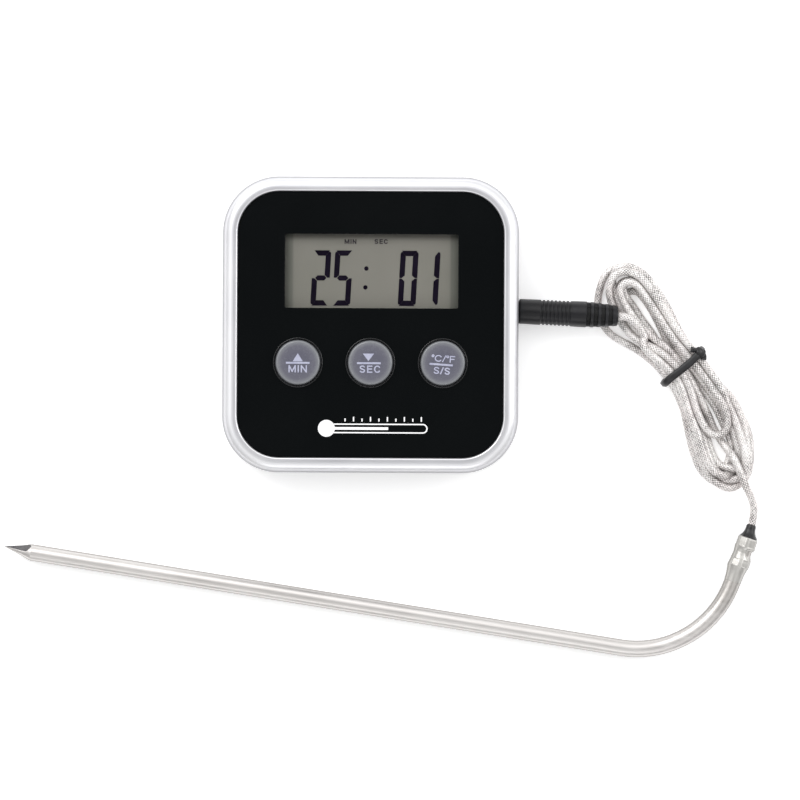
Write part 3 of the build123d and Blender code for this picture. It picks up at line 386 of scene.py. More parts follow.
def steel_material(name, heading, dark, light, rough, darker_region=None):
    """Satin steel ground along a heading, with painted shade darker on its steep sides; the last argument, if
    given, is a region's slopes in X and Y and its tint.
    """
    f = Finish(name, Metallic=0.85)
    turned = f.node("ShaderNodeMapping", Vector=f.coords["Object"], Rotation=(0.0, 0.0, -heading)).outputs[0]
    drawn_out = f.node("ShaderNodeMapping", Vector=turned, Scale=(0.02, 1.0, 1.0)).outputs[0]
    lines = f.noise(900, 3.0, 0.6, drawn_out)
    cloud = f.noise(70, 3.0)
    f.bump(lines, 0.16, 2e-5)
    tone = f.add(f.times(lines, 0.6), f.times(cloud, 0.4))
    # painted shade: the steel is darker where it faces sideways
    sides = f.ramp(f.upward(), (0.0, (176, 175, 173)), (0.38, (186, 185, 183)), (0.62, (255, 255, 255)))
    colour = f.mix(1.0, f.ramp(tone, (0.35, dark), (0.65, light)), sides, "MULTIPLY")
    # a region of the steel tinted darker
    if darker_region is not None:
        from_x, from_y, levels = darker_region
        axes = f.axes(f.coords["Object"])
        near = f.times(f.span(axes["X"], *from_x), f.span(axes["Y"], *from_y))
        colour = f.mix(near, colour, srgb(*levels), "MULTIPLY")
    return f.use(Base_Color=colour, Roughness=f.span(tone, 0.35, 0.65, *rough))


def braid_material():
    """Fine steel wires plaited in carriers over a dark core; one UV unit is one carrier."""
    f = Finish("steel_braid", Metallic=0.35)
    axes = f.axes(f.node("ShaderNodeUVMap", {"uv_map": "along"}).outputs[0])
    one, two = f.add(axes["Y"], axes["X"]), f.minus(axes["Y"], axes["X"])
    floor_one, floor_two = f.math("FLOOR", one), f.math("FLOOR", two)
    over = f.math("LESS_THAN", f.math("FLOORED_MODULO", f.add(floor_one, floor_two), 2.0), 0.5)
    part_one, part_two = f.math("FRACT", one), f.math("FRACT", two)
    crown_one, crown_two = (f.math("SINE", f.times(part, math.pi)) for part in (part_one, part_two))

    def carrier(across, along, part):
        wires = f.add(f.times(f.math("SINE", f.times(part, 10 * math.pi)), 0.09), 0.91)
        return f.times(f.times(f.math("POWER", across, 0.55), wires), f.add(f.times(along, 0.55), 0.45))

    first, second = carrier(crown_one, crown_two, part_one), carrier(crown_two, crown_one, part_two)
    height = f.add(f.times(over, first), f.times(f.minus(1.0, over), second))
    cell = f.node("ShaderNodeCombineXYZ", X=floor_one, Y=floor_two).outputs[0]
    speck = f.node("ShaderNodeTexWhiteNoise", {"noise_dimensions": "2D"}, Vector=cell).outputs["Value"]
    tone = f.ramp(f.noise(140), (0.35, (240, 234, 232)), (0.65, (250, 247, 245)))
    tone = f.mix(f.times(f.math("POWER", speck, 2.0), 0.4), tone, srgb(166, 162, 160))
    ragged = f.add(height, f.times(f.minus(f.noise(1500), 0.5), 0.7))
    spread = f.span(f.noise(170), 0.4, 0.66, 0.1, 0.32)
    colour = f.mix(f.span(f.minus(ragged, spread), 0.0, 0.3), srgb(56, 53, 53), tone)
    f.bump(height, 0.45, 8e-5)
    return f.use(Base_Color=colour, Roughness=f.span(speck, 0.0, 1.0, 0.34, 0.5))


PROBE_HEADING, MOUTH_HEADING, CAP_HEADING = (math.radians(a) for a in (-8.87, 70.5, 75.5))
# the probe's tube is darker past its bend
DARKER_PAST_BEND = (0.066, 0.08), (-0.074, -0.064), (224, 223, 221)
STEEL = (207, 203, 200), (224, 221, 219)

FINISHES = {
    "silver_plastic": silver_material(),
    "black_panel": grained(
        "gloss_black_sheet", (12, 14, 15), (14, 16, 17), 40, (0.06, 0.12), 0.02, 1e-5, 900, gloss=0.3
    ),
    "black_plastic": grained("black_case", (34, 34, 36), (43, 43, 45), 90, (0.5, 0.62), 0.5, 5e-5, 5200),
    "clear_lens": lens_material(),
    "lcd": display_material(),
    "dome_rubber": grained("pale_silicone", (214, 216, 218), (228, 229, 230), 120, (0.5, 0.6), 0.2),
    "zebra_rubber": grained("zebra_rubber", (214, 150, 160), (230, 168, 176), 300, (0.5, 0.6)),
    "circuit_laminate": grained("solder_mask", (18, 96, 48), (24, 112, 58), 160, (0.28, 0.36), 0.1, 2e-5),
    "epoxy": grained("epoxy", (14, 14, 14), (24, 24, 24), 200, (0.2, 0.32)),
    "brass": grained("brass", (196, 160, 88), (214, 180, 106), 300, (0.25, 0.4), 0.1, 1e-5, metal=1.0),
    "plated_steel": grained(
        "bright_nickel", (196, 196, 198), (212, 212, 214), 300, (0.16, 0.28), 0.1, 1e-5, metal=1.0
    ),
    "battery_label": grained("cell_sleeve", (44, 92, 128), (54, 106, 142), 90, (0.25, 0.35), 0.1, 1e-5),
    "wire_insulation": grained("wire_insulation", (170, 26, 22), (190, 36, 30), 300, (0.35, 0.45)),
    "plug_rubber": grained(
        "boot_black", (15, 15, 18), (23, 23, 27), 150, (0.32, 0.42), 0.35, 4e-5, 5600, gloss=0.38
    ),
    "braid": braid_material(),
    "tie_plastic": grained("tie_black", (24, 24, 26), (38, 38, 41), 300, (0.34, 0.5), 0.35, 4e-5, 3200),
    "cap_rubber": grained("cap_black", (18, 18, 20), (34, 34, 36), 260, (0.25, 0.4), 0.3, 5e-5, 2600),
    "stainless": steel_material("satin_steel", PROBE_HEADING, *STEEL, (0.34, 0.44), DARKER_PAST_BEND),
    "magnet_nickel": grained(
        "dull_nickel", (168, 168, 170), (190, 190, 192), 260, (0.3, 0.45), 0.15, 1e-5, metal=1.0
    ),
}
# nodes that don't look like the rest of their slot
OWN_FINISH = {
    **{"button_" + key: key_material(key) for key in KEYS},
    "stand": grained("stand_black", (28, 28, 30), (36, 36, 38), 70, (0.42, 0.55), 0.4, 4e-5, 4600),
    "mode_switch_knob": grained(
        "knob_grey", (120, 121, 124), (136, 137, 140), 120, (0.4, 0.5), 0.3, grain=5000
    ),
}
white_ink = grained("white_ink", (244, 244, 246), (252, 252, 252), 400, (0.45, 0.55), 0.1, 1e-5)
key_ink = grained("key_ink", (164, 166, 188), (178, 180, 200), 900, (0.4, 0.5), 0.1, 1e-5)
segment_ink = grained("segment_ink", (10, 2, 20), (16, 6, 28), 260, (0.3, 0.4), 0.0, 1e-5, gloss=0.1)
icon_ink = grained("icon_ink", (26, 20, 28), (38, 32, 40), 500, (0.3, 0.4), 0.0, 1e-5)
edge_black = grained("polished_edge", (30, 31, 33), (36, 37, 39), 90, (0.12, 0.2), 0.02, 1e-5, gloss=0.9)
# painted shade: a darker black for the floors of the boot's slots
slot_painted_shade = grained("boot_slots_painted_shade", (7, 7, 8), (12, 12, 13), 150, (0.6, 0.7))
crimped_steel = steel_material("crimped_steel", MOUTH_HEADING, (184, 182, 178), (204, 202, 198), (0.34, 0.46))
# painted shade: a darker copy of the steel for the point's ground flat
ground_flat_painted_shade = steel_material(
    "ground_flat_painted_shade", PROBE_HEADING + math.pi / 2, (84, 83, 85), (118, 117, 118), (0.3, 0.42)
)


def wear(piece, material):
    """The whole piece gets the material, whatever slots its mesh came with."""
    if not piece.material_slots:
        piece.data.materials.append(material)
    for slot in piece.material_slots:
        slot.link = "OBJECT"
        slot.material = material


slot_of = {part["node"]: part["material_slot"] for part in frame["record"]["subparts"]}
for name, piece in nodes.items():
    wear(piece, OWN_FINISH.get(name) or FINISHES[slot_of[name]])


def place(piece, body, slot, *replaced, finish=None):
    """The piece rides a body, wears a finish, and stands for the CAD nodes named."""
    wear(piece, finish or FINISHES[slot])
    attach(piece, body)
    if replaced:
        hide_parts(*replaced)
    return piece


def second_finish(piece, material, marked):
    """Faces whose corners are all marked wear a second material."""
    piece.data.materials.append(material)
    piece.material_slots[1].link = "OBJECT"
    piece.material_slots[1].material = material
    for face in piece.data.polygons:
        face.material_index = int(all(marked[v] for v in face.vertices))


# ---------- the cord's route (millimetres)
CORD_D = 1.9
PLUG_TAIL = (59.08, 2.64, 5.9)
PLUG_WAY = np.array((0.999123, -0.041876, 0.0))
LEAD = [PLUG_TAIL, (61.68, 2.53, 5.9), (63.9, 0.5, 5.6), (65.9, -2.2, 4.9)]
TAIL = [
    (87.0, -31.0, 4.7), (88.7, -34.8, 4.8), (90.1, -38.2, 4.3), (91.6, -40.9, 3.0), (92.46, -44.09, 2.5),
    (91.63, -47.28, 2.5),
]
TIE = np.array((74.85, -9.4, 3.6))
TIE_ACROSS = level(math.radians(41.3))[:2]
TIE_ALONG = np.array((-TIE_ACROSS[1], TIE_ACROSS[0]))

# middle line of the hank, from the end of its upper lobe to the end of its lower one
MIDDLE = [
    (58.3, 14.6), (60.6, 10.8), (63.2, 6.7), (66.9, 1.2), (70.4, -3.8), (74.85, -9.4), (77.8, -13.1),
    (80.3, -17.0), (82.2, -21.0), (83.8, -25.5), (84.9, -30.0), (86.1, -34.2), (87.3, -38.6),
]
# each fold's distance from the tie, its reach to the left and right, and its height there
LOWER_FOLDS = [
    (30.6, 5.3, 4.7, 4.2, 1.0),
    (29.4, 4.7, 3.0, 1.0, 1.0),
    (30.4, 3.2, 6.2, 2.8, 2.6),
    (32.0, 6.3, 6.7, 2.8, 1.0),
    (32.0, 6.6, 4.0, 1.0, 2.6),
    (31.2, 4.5, 5.2, 2.8, 3.2),
    (19.8, 3.6, 3.5, 4.9, 4.9),
]
UPPER_FOLDS = [
    (26.6, 4.3, 4.0, 1.0, 1.0),
    (23.4, 3.3, 2.8, 1.0, 1.0),
    (29.8, 3.6, 5.6, 2.9, 2.9),
    (29.7, 10.0, 5.8, 1.0, 1.0),
    (26.4, 1.8, 3.9, 2.9, 2.9),
    (29.2, 4.5, 4.4, 4.8, 4.8),
    (25.8, 3.0, 2.8, 4.8, 4.8),
]
# where each pass goes through the tie: across it, and up
DOWN_SLOTS = [
    (-3.3, 5.05), (-2.3, 2.15), (-0.5, 3.6), (-4.3, 3.6), (-4.3, 2.15), (-2.4, 3.6), (-1.4, 5.05),
    (0.6, 5.05),
]
UP_SLOTS = [(2.2, 2.15), (0.3, 2.15), (4.2, 3.6), (4.3, 2.15), (1.8, 3.6), (4.3, 5.05), (2.5, 5.05)]
# the last pass leaves the hank along these points
WAY_OUT = [(77.4, -14.3, 4.6), (80.0, -19.2, 3.4), (82.4, -24.4, 2.7), (84.9, -28.0, 3.4)]
# places along a limb, as shares of it, and where the limb is widest
STATIONS = (0.16, 0.34, 0.5, 0.64, 0.76, 0.86, 0.93)
WIDEST = 0.62
# how firmly strands keep to their plan while the hank settles, and which folds keep to it most
LOOSE_HOLD, END_HOLD, FIRM_HOLD = 0.03, 0.1, 0.16
FIRM_LOWER, FIRM_UPPER = (6,), (1, 3, 6)
# a loop that stands out this far only does so towards its end
LOOSE_REACH, LOOP_LATENESS = 7.0, 1.6

middle = catmull(MIDDLE, 200)
middle_run = distances(middle)
middle_run -= middle_run[np.argmin(np.linalg.norm(middle - TIE[:2], axis=1))]


def beside(s, v):
    """The place s along the middle line from the tie and v across it."""
    half = 0.6
    here = np.clip(s, middle_run[0] + half, middle_run[-1] - half)
    a, b = (np.array([np.interp(here + d, middle_run, part) for part in middle.T]) for d in (-half, half))
    along = (b - a) / np.linalg.norm(b - a)
    normal = np.array([-along[1], along[0]])
    return (a + b) / 2 + along * (s - here) + normal * v * np.sign(normal @ TIE_ACROSS)


def belly(f):
    """Share of a fold's reach along its limb: none at the tie, then full, then round at the end."""
    if f < WIDEST:
        return math.sin(f / WIDEST * math.pi / 2) ** 0.9
    return math.sqrt(max(0.0, 1.0 - ((f - WIDEST) / (1.0 - WIDEST)) ** 2))


def limb(slot, fold, side, way, hold):
    """The left or right limb of a turn, from the tie to its fold."""
    end, left, right, low, high = fold
    reach, height = (-left, low) if side < 0 else (right, high)
    late = LOOP_LATENESS if abs(reach) > LOOSE_REACH else 1.0
    points = []
    for f in STATIONS:
        b = ease(f / 0.55)
        v = (1 - b) * slot[0] + b * reach * belly(f) ** late
        points.append((*beside(way * f * end, v), (1 - b) * slot[1] + b * height, hold))
    return points


def through_tie(slot):
    """Where a pass goes through the tie."""
    return [(*(TIE[:2] + TIE_ACROSS * slot[0]), slot[1], LOOSE_HOLD)]


def half_turn(fold, way, start, end, hold):
    """From one pass through the tie, round a fold, to the next pass."""
    reach, left, right, low, high = fold
    outermost = (*beside(way * reach, (right - left) / 2), (low + high) / 2, hold)
    there, back = limb(start, fold, -way, way, hold), limb(end, fold, way, way, hold)[::-1]
    return there + [outermost] + back + through_tie(end)


def hank_plan():
    """The wound cord before it settles: down one side, round, up the other side and round again."""
    plan = [(*p, LOOSE_HOLD) for p in LEAD] + through_tie(DOWN_SLOTS[0])
    for k, (lower, upper) in enumerate(zip(LOWER_FOLDS, UPPER_FOLDS)):
        hold = FIRM_HOLD if k in FIRM_LOWER else LOOSE_HOLD
        plan += half_turn(lower, 1, DOWN_SLOTS[k], UP_SLOTS[k], hold)
        hold = FIRM_HOLD if k in FIRM_UPPER else LOOSE_HOLD
        plan += half_turn(upper, -1, UP_SLOTS[k], DOWN_SLOTS[k + 1], hold)
    plan += [(*WAY_OUT[0], END_HOLD / 2)] + [(*p, END_HOLD) for p in WAY_OUT[1:] + TAIL]
    return np.array(plan)


# ---------- the hank settles (millimetres)
ROUNDS, PASSES, REFRESH = 280, 2, 5
GAP = CORD_D + 0.02
# points within GAP plus this margin are watched, unless they are neighbours along the cord
WATCH_MARGIN, NEIGHBOURS = 1.2, 4
SINK = 0.02
# several pushes on one point add up, then shrink by this share of their number
CROWDING = 0.6
# shares of the other corrections that one pass makes
STRETCH, STRAIGHTEN, UNFOLD = 0.7, 0.12, 0.15
# points this many steps apart keep at least this distance
FOLD_STEPS, FOLD_CHORD = 6, 5.1
# lowest and highest middle of a strand, in the hank and in the tie
HEIGHTS, TIE_HEIGHTS = (0.97, 5.05), (2.1, 5.1)
# half the tie's width and length, and how far across it still takes a strand
TIE_HALF_WIDTH, TIE_HALF_LENGTH, TIE_TAKES = 4.3, 1.6, 9
# distance from the middle of the plug's boot, which widens away from its tail
BOOT_CLEARANCE, BOOT_TAPER, BOOT_LENGTH, BOOT_END = 3.37, 0.033, 20, 0.5
TINY = 1e-6


def push_apart(x, free, a, b):
    """Strands that are closer than their thickness move apart."""
    apart = x[a] - x[b]
    far = np.linalg.norm(apart, axis=1)
    hit = far < GAP
    shove = apart[hit] * ((GAP - far[hit]) / 2 / np.maximum(far[hit], TINY))[:, None]
    push, count = np.zeros_like(x), np.zeros(len(x))
    for struck, way in ((a[hit], 1.0), (b[hit], -1.0)):
        np.add.at(push, struck, way * shove)
        np.add.at(count, struck, 1)
    x += free[:, None] * push / np.maximum(1.0, CROWDING * count)[:, None]


def keep_lengths(x, free, rest):
    """Each step of the cord goes back towards its length, even steps first."""
    for start in (0, 1):
        i = np.arange(start, len(x) - 1, 2)
        step = x[i + 1] - x[i]
        size = np.linalg.norm(step, axis=1)
        share = (size - rest[i]) / np.maximum((free[i] + free[i + 1]) * size, 1e-9)
        x[i] += STRETCH * (free[i] * share)[:, None] * step
        x[i + 1] -= STRETCH * (free[i + 1] * share)[:, None] * step


def open_bends(x, free):
    """Points move between their neighbours, and tight folds open."""
    x[2:-2] += STRAIGHTEN * free[2:-2, None] * ((x[1:-3] + x[3:-1]) / 2 - x[2:-2])
    chord = x[FOLD_STEPS:] - x[:-FOLD_STEPS]
    size = np.linalg.norm(chord, axis=1)
    spread = chord * (UNFOLD * np.maximum(0.0, FOLD_CHORD - size) / np.maximum(size, TINY))[:, None]
    x[FOLD_STEPS:] += free[FOLD_STEPS:, None] * spread
    x[:-FOLD_STEPS] -= free[:-FOLD_STEPS, None] * spread


def hold_in_tie(x, free):
    """Strands stay off the floor, and inside the tie where they pass it."""
    x[:, 2] = np.where(free > 0, np.clip(x[:, 2], *HEIGHTS), x[:, 2])
    along, across = (x[:, :2] - TIE[:2]) @ TIE_ALONG, (x[:, :2] - TIE[:2]) @ TIE_ACROSS
    tied = (np.abs(along) < TIE_HALF_LENGTH) & (np.abs(across) < TIE_TAKES) & (free > 0)
    inward = np.clip(across, -TIE_HALF_WIDTH, TIE_HALF_WIDTH) - across
    x[tied, :2] += (inward[:, None] * TIE_ACROSS)[tied]
    x[tied, 2] = np.clip(x[tied, 2], *TIE_HEIGHTS)


def clear_boot(x, free):
    """Strands stay outside the plug's boot."""
    from_plug = x - np.array(PLUG_TAIL)
    ahead = from_plug @ PLUG_WAY
    radial = from_plug - ahead[:, None] * PLUG_WAY
    away = np.linalg.norm(radial, axis=1)
    clear = BOOT_CLEARANCE + BOOT_TAPER * np.clip(-ahead, 0, BOOT_LENGTH)
    inside = (ahead < BOOT_END) & (away < clear) & (free > 0)
    x[inside] += radial[inside] * ((clear - away) / np.maximum(away, TINY))[inside, None]


def settle(x, hold, fixed):
    """Lets the strands sink and push each other apart until they lie still."""
    rest = np.linalg.norm(np.diff(x, axis=0), axis=1)
    home = x.copy()
    free = np.where(fixed, 0.0, 1.0)
    first, second = np.triu_indices(len(x), NEIGHBOURS)
    for turn in range(ROUNDS):
        if turn % REFRESH == 0:
            near = ((x[first] - x[second]) ** 2).sum(1) < (GAP + WATCH_MARGIN) ** 2
            a, b = first[near], second[near]
        x[:, :2] += (free * hold)[:, None] * (home - x)[:, :2]
        x[:, 2] -= SINK * free
        for _ in range(PASSES):
            push_apart(x, free, a, b)
            keep_lengths(x, free, rest)
            open_bends(x, free)
            hold_in_tie(x, free)
            clear_boot(x, free)
    return x


def nearest(points, place_at):
    """Number of the point that is nearest to a place."""
    return int(np.argmin(np.linalg.norm(points - place_at, axis=1)))


def settled_route():
    """The cord's middle line from the plug to the probe, in points 0.3 mm apart."""
    plan = hank_plan()
    draft = spaced(nurbs_line(plan[:, :3], 6), 1.0)
    plan_run = distances(plan[:, :3])
    hold = np.interp(np.linspace(0.0, plan_run[-1], len(draft)), plan_run, plan[:, 3])
    number = np.arange(len(draft))
    wound = settle(draft, hold, (number < 7) | (number >= len(draft) - 14))
    lead_end = nearest(wound[:20], LEAD[-1]) + 2
    tail_start = len(wound) - 40 + nearest(wound[-40:], TAIL[0]) - 2
    route = np.vstack([LEAD, wound[lead_end:tail_start:3], TAIL])
    return spaced(nurbs_line(route * MM, 6) / MM, 0.3)


# ---------- the cord (millimetres)
CARRIERS = 8
CELL = 0.75
PLAIT_DEPTH = 0.085
CORD_AROUND = 24


def plait(run):
    """Relief of the plait at each ring and angle, one on a carrier's crown."""
    angle = np.arange(CORD_AROUND) / CORD_AROUND * CARRIERS
    one, two = angle[None] + run[:, None] / CELL, angle[None] - run[:, None] / CELL
    over = (np.floor(one) + np.floor(two)) % 2 < 0.5
    crown_one, crown_two = np.sin(np.pi * (one % 1)), np.sin(np.pi * (two % 1))
    return np.where(over, crown_one**0.7 * (0.4 + 0.6 * crown_two), crown_two**0.7 * (0.4 + 0.6 * crown_one))


cord_line = settled_route()
cord_run = distances(cord_line)
cord = sweep(
    "braided_lead",
    cord_line,
    CORD_D / 2 - PLAIT_DEPTH + PLAIT_DEPTH * plait(cord_run),
    CORD_AROUND,
    uv=(1.0 / CELL, float(CARRIERS)),
)

# ---------- plug boot (millimetres)
JACK_MOUTH = np.array((35.0, 3.65, 5.9))
BOOT_AROUND = 96
# distance from the housing, radius
BOOT_SHAPE = np.array([
    (0.25, 2.45), (0.32, 2.74), (0.5, 2.93), (0.8, 3.0), (5.4, 3.05), (5.55, 3.02), (13.2, 3.06),
    (14.0, 3.1), (16.3, 3.12), (19.0, 3.0), (22.0, 2.66), (23.7, 2.46), (24.0, 2.3), (24.1, 2.0),
])
# start of the first, distance to the next, width, slope
GRIP_RIBS, GRIP_GROOVE, GRIP_DEPTH = 8, (5.6, 0.95, 0.4, 0.16), 0.26
RELIEF_SLOTS, RELIEF_SLOT = 4, (16.5, 1.77, 0.95, 0.14)


def round_window(angle, middle, half, soft):
    """One inside an angular window about a direction, falling to zero over soft."""
    return ease((half + soft - np.abs(angle_from(angle, middle))) / soft)[None]


def ring_cut(run, number, start, pitch, width, slope):
    """One over one of a row of stretches along the boot, with slopes at both ends."""
    start = start + pitch * number
    return ease(np.minimum(run - start, start + width - run) / slope + 0.5)[:, None]


def moulded_boot():
    """The plug's boot, with grooves round its grip and slots above and below its strain relief, their floors
    darker with painted shade.
    """
    run = np.linspace(BOOT_SHAPE[0, 0], BOOT_SHAPE[-1, 0], 520)
    line = JACK_MOUTH + PLUG_WAY * run[:, None]
    angle = round_steps(BOOT_AROUND)
    right, up = frames_along(line)
    top = np.arctan2(up[0][2], right[0][2])
    side = top + math.pi / 2
    far_side = top + math.pi / 2 * np.sign((right[0] * math.cos(side) + up[0] * math.sin(side))[1])
    lean = (far_side - top) * 0.45
    radius = np.repeat(np.interp(run, *BOOT_SHAPE.T)[:, None], BOOT_AROUND, axis=1)
    grip = 0.3 + 0.7 * round_window(angle, top + lean, 0.85, 0.4)
    grip = np.minimum(grip + 0.7 * round_window(angle, top + math.pi + lean, 0.85, 0.4), 1.0)
    for k in range(GRIP_RIBS):
        radius = radius - GRIP_DEPTH * grip * ring_cut(run, k, *GRIP_GROOVE)
    slots = round_window(angle, top, 1.0, 0.16) + round_window(angle, top + math.pi, 1.0, 0.16)
    slots = np.minimum(slots + 0.14, 1.0)
    deep = np.zeros(radius.shape)
    for k in range(RELIEF_SLOTS):
        cut = slots * ring_cut(run, k, *RELIEF_SLOT)
        radius = radius - (1.0 - 0.08 * k) * cut
        deep = np.maximum(deep, cut)
    piece = sweep("moulded_boot", line, radius, BOOT_AROUND)
    place(piece, "probe_lead", "plug_rubber", "plug_boot")
    # the slots' floors wear painted shade
    second_finish(piece, slot_painted_shade, (deep > 0.5).ravel())
    return piece


boot = moulded_boot()

# ---------- twist tie (millimetres)
# across the hank, up and along it: from the knot once round the waist and back
TIE_LOOP = [
    (5.5, 2.2, 0.2), (6.15, 0.4, 0.1), (5.7, -1.9, 0.0), (4.2, -2.65, 0.05), (1.6, -2.75, 0.1),
    (-1.6, -2.75, 0.1), (-4.2, -2.7, 0.0), (-5.7, -1.9, -0.1), (-6.1, 0.0, -0.15), (-5.7, 1.9, -0.1),
    (-4.2, 2.85, 0.0), (-1.6, 3.05, -0.15), (1.6, 3.1, -0.25), (3.6, 3.05, -0.15), (5.0, 2.8, 0.0),
]
# the two ends wind round each other along this line, then part
KNOT = [(5.2, 2.5, -0.5), (5.25, 2.8, 0.0), (5.0, 3.0, 0.5)]
LONG_END = [(4.7, 3.0, 1.1), (4.3, 3.0, 1.6), (3.9, 2.9, 2.0)]
SHORT_END = [(5.5, 2.6, 0.3), (5.6, 2.5, -0.7), (5.1, 2.5, -1.4), (4.6, 2.5, -1.9)]
KNOT_RADIUS, KNOT_TURNS = 0.55, 1.2
TIE_AROUND = 20


def tie_points(rows):
    """Places given across the hank, up, and along it from the middle of the tie."""
    return [(*(TIE[:2] + TIE_ACROSS * across + TIE_ALONG * along), TIE[2] + up) for across, up, along in rows]


def ribbon_wire(name, line, half_width, half_thick, twist):
    """Flat covered wire with a round core, wide along the hank where its twist is zero."""
    line = np.asarray(line, float)
    way = ways_along(line)
    wide = np.tile(np.array((*TIE_ALONG, 0.0)), (len(line), 1))
    wide -= way * (wide * way).sum(1)[:, None]
    wide /= np.linalg.norm(wide, axis=1)[:, None]
    angle = round_steps(TIE_AROUND)
    x = np.sign(np.cos(angle)) * np.abs(np.cos(angle)) ** 0.55
    y = np.sign(np.sin(angle)) * np.abs(np.sin(angle)) ** 0.8
    core = 1.0 + 0.35 * np.exp(-((x / 0.34) ** 2))
    turn = np.asarray(twist, float)[:, None]
    u, v = half_width * x[None], half_thick * (y * core)[None]
    across, rise = u * np.cos(turn) - v * np.sin(turn), u * np.sin(turn) + v * np.cos(turn)
    return tube(name, line, wide, np.cross(way, wide), across, rise)


def tie_end(name, sign, free_end):
    """Half of the knot and the loose end that follows it."""
    knot = catmull(tie_points(KNOT), 16)
    turn = np.linspace(0.3, 0.3 + 2 * KNOT_TURNS * math.pi, len(knot))
    side, up = frames_along(knot)
    half = knot + (np.cos(turn)[:, None] * side + np.sin(turn)[:, None] * up) * KNOT_RADIUS * sign
    line = np.vstack([half, catmull([half[-1], *tie_points(free_end)], 10)[1:]])
    return ribbon_wire(name, line, 0.72, 0.42, np.linspace(0.0, 2.2 * math.pi * sign, len(line)))


tie_loop = catmull(tie_points(TIE_LOOP), 8)
tie_pieces = [
    ribbon_wire("tie_loop", tie_loop, 0.92, 0.55, 0.34 * np.sin(np.linspace(0.4, 2.9, len(tie_loop)))),
    tie_end("tie_end_long", 1.0, LONG_END),
    tie_end("tie_end_short", -1.0, SHORT_END),
]
for piece in tie_pieces:
    place(piece, "probe_lead", "tie_plastic")
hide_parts("twist_tie")

place(cord, "probe_lead", "braid", "cable_lead", "cable_hank", "cable_tail")

# ---------- ferrule and cap (millimetres)
MOUTH = np.array((90.83, -50.38, 2.5))
MOUTH_WAY, CAP_WAY = level(MOUTH_HEADING), level(CAP_HEADING)
FERRULE_AROUND, CAP_AROUND = 96, 64
# distance behind the mouth, half width on the left and on the right
FERRULE_SHAPE = np.array([
    (11.1, 2.03, 2.03), (10.2, 2.09, 2.06), (9.3, 2.19, 2.10), (8.5, 2.33, 2.18), (7.9, 2.48, 2.30),
    (7.4, 2.58, 2.40), (7.1, 2.60, 2.62), (6.2, 2.48, 2.64), (5.3, 2.36, 2.52), (4.6, 2.26, 2.20),
    (3.8, 2.26, 1.96), (3.1, 2.34, 2.02), (2.65, 2.40, 2.36), (2.4, 2.42, 2.52), (1.2, 2.44, 2.52),
    (0.3, 2.42, 2.48), (0.0, 2.24, 2.30),
])
# crimp dents: distance behind the mouth, direction round the ferrule, depth
DENTS = [(3.7, 0.55, 0.34), (5.9, 0.3, 0.22), (3.6, -0.9, 0.25), (3.7, 2.5, 0.22), (5.8, 1.9, 0.16)]
DENT_HALF = 0.85
# distance in front of the mouth, radius
CAP_PROFILE = [
    (-0.5, 2.0), (0.0, 2.14), (0.2, 2.12), (0.5, 1.93), (0.9, 1.68), (1.4, 1.45), (1.9, 1.3), (2.5, 1.22),
    (2.95, 1.14), (3.2, 0.98),
]


def pressed(radius, flats, share):
    """The radius where a share of it is pressed to flats."""
    return radius * (1 - share) + radius * np.minimum(flats, 1.0)[None] * share


def crimped_ferrule():
    """Steel sleeve with two hexagonal collars and crimp dents."""
    back, left, right = FERRULE_SHAPE.T
    run = np.linspace(back[0], back[-1], 190)
    line = MOUTH - MOUTH_WAY * run[:, None]
    across, up = frames_along(line)
    angle = round_steps(FERRULE_AROUND)
    share = 0.5 + 0.5 * np.cos(angle)[None] * np.sign(across[0][0])
    widths = [np.interp(-run, -back, side)[:, None] for side in (left, right)]
    radius = widths[0] * (1 - share) + widths[1] * share
    hexagon = 1.0 / np.cos((angle + math.pi / 6) % (math.pi / 3) - math.pi / 6)
    radius = pressed(radius, hexagon * 0.935, ease((2.35 - run) / 0.25)[:, None])
    for dent_back, direction, depth in DENTS:
        off = angle_from(angle, direction) * (2.4 / DENT_HALF)
        radius = radius - depth * np.exp(-(((run[:, None] - dent_back) / DENT_HALF) ** 4 + off[None] ** 4))
    radius = pressed(radius, hexagon * 0.95, ease((0.9 - np.abs(run - 6.3)) / 0.2)[:, None])
    # it rests on the surface along its underside
    downward = np.maximum(-np.sin(angle) * up[0][2], 0.01)
    radius = np.minimum(radius, (MOUTH[2] / downward)[None])
    return sweep("crimped_ferrule", line, radius, FERRULE_AROUND)


def soft_cap():
    """Black cap that narrows to the lead, with four shallow flutes."""
    profile = catmull(CAP_PROFILE, 6)
    run = profile[:, :1]
    flutes = 0.5 + 0.5 * np.cos(4 * round_steps(CAP_AROUND)[None] + 0.9)
    fluted = 1.0 - 0.05 * ease((run - 0.2) / 0.8) * ease(2.9 - run) * flutes
    return sweep("cap", MOUTH + CAP_WAY * run, profile[:, 1:] * fluted, CAP_AROUND)


place(crimped_ferrule(), "probe_lead", "stainless", "probe_ferrule", finish=crimped_steel)
place(soft_cap(), "probe_lead", "cap_rubber", "probe_cap")

# ---------- ground point of the probe (millimetres)
POINT = np.array((-87.8, -53.8, 2.5))
POINT_WAY = level(PROBE_HEADING)
POINT_SIDE = np.array((-POINT_WAY[1], POINT_WAY[0], 0.0))
POINT_AROUND = 72
POINT_LENGTH = 6.62
# direction of the flat across the point: to the side and up
FLAT_SIDE, FLAT_UP = 0.78, 0.62


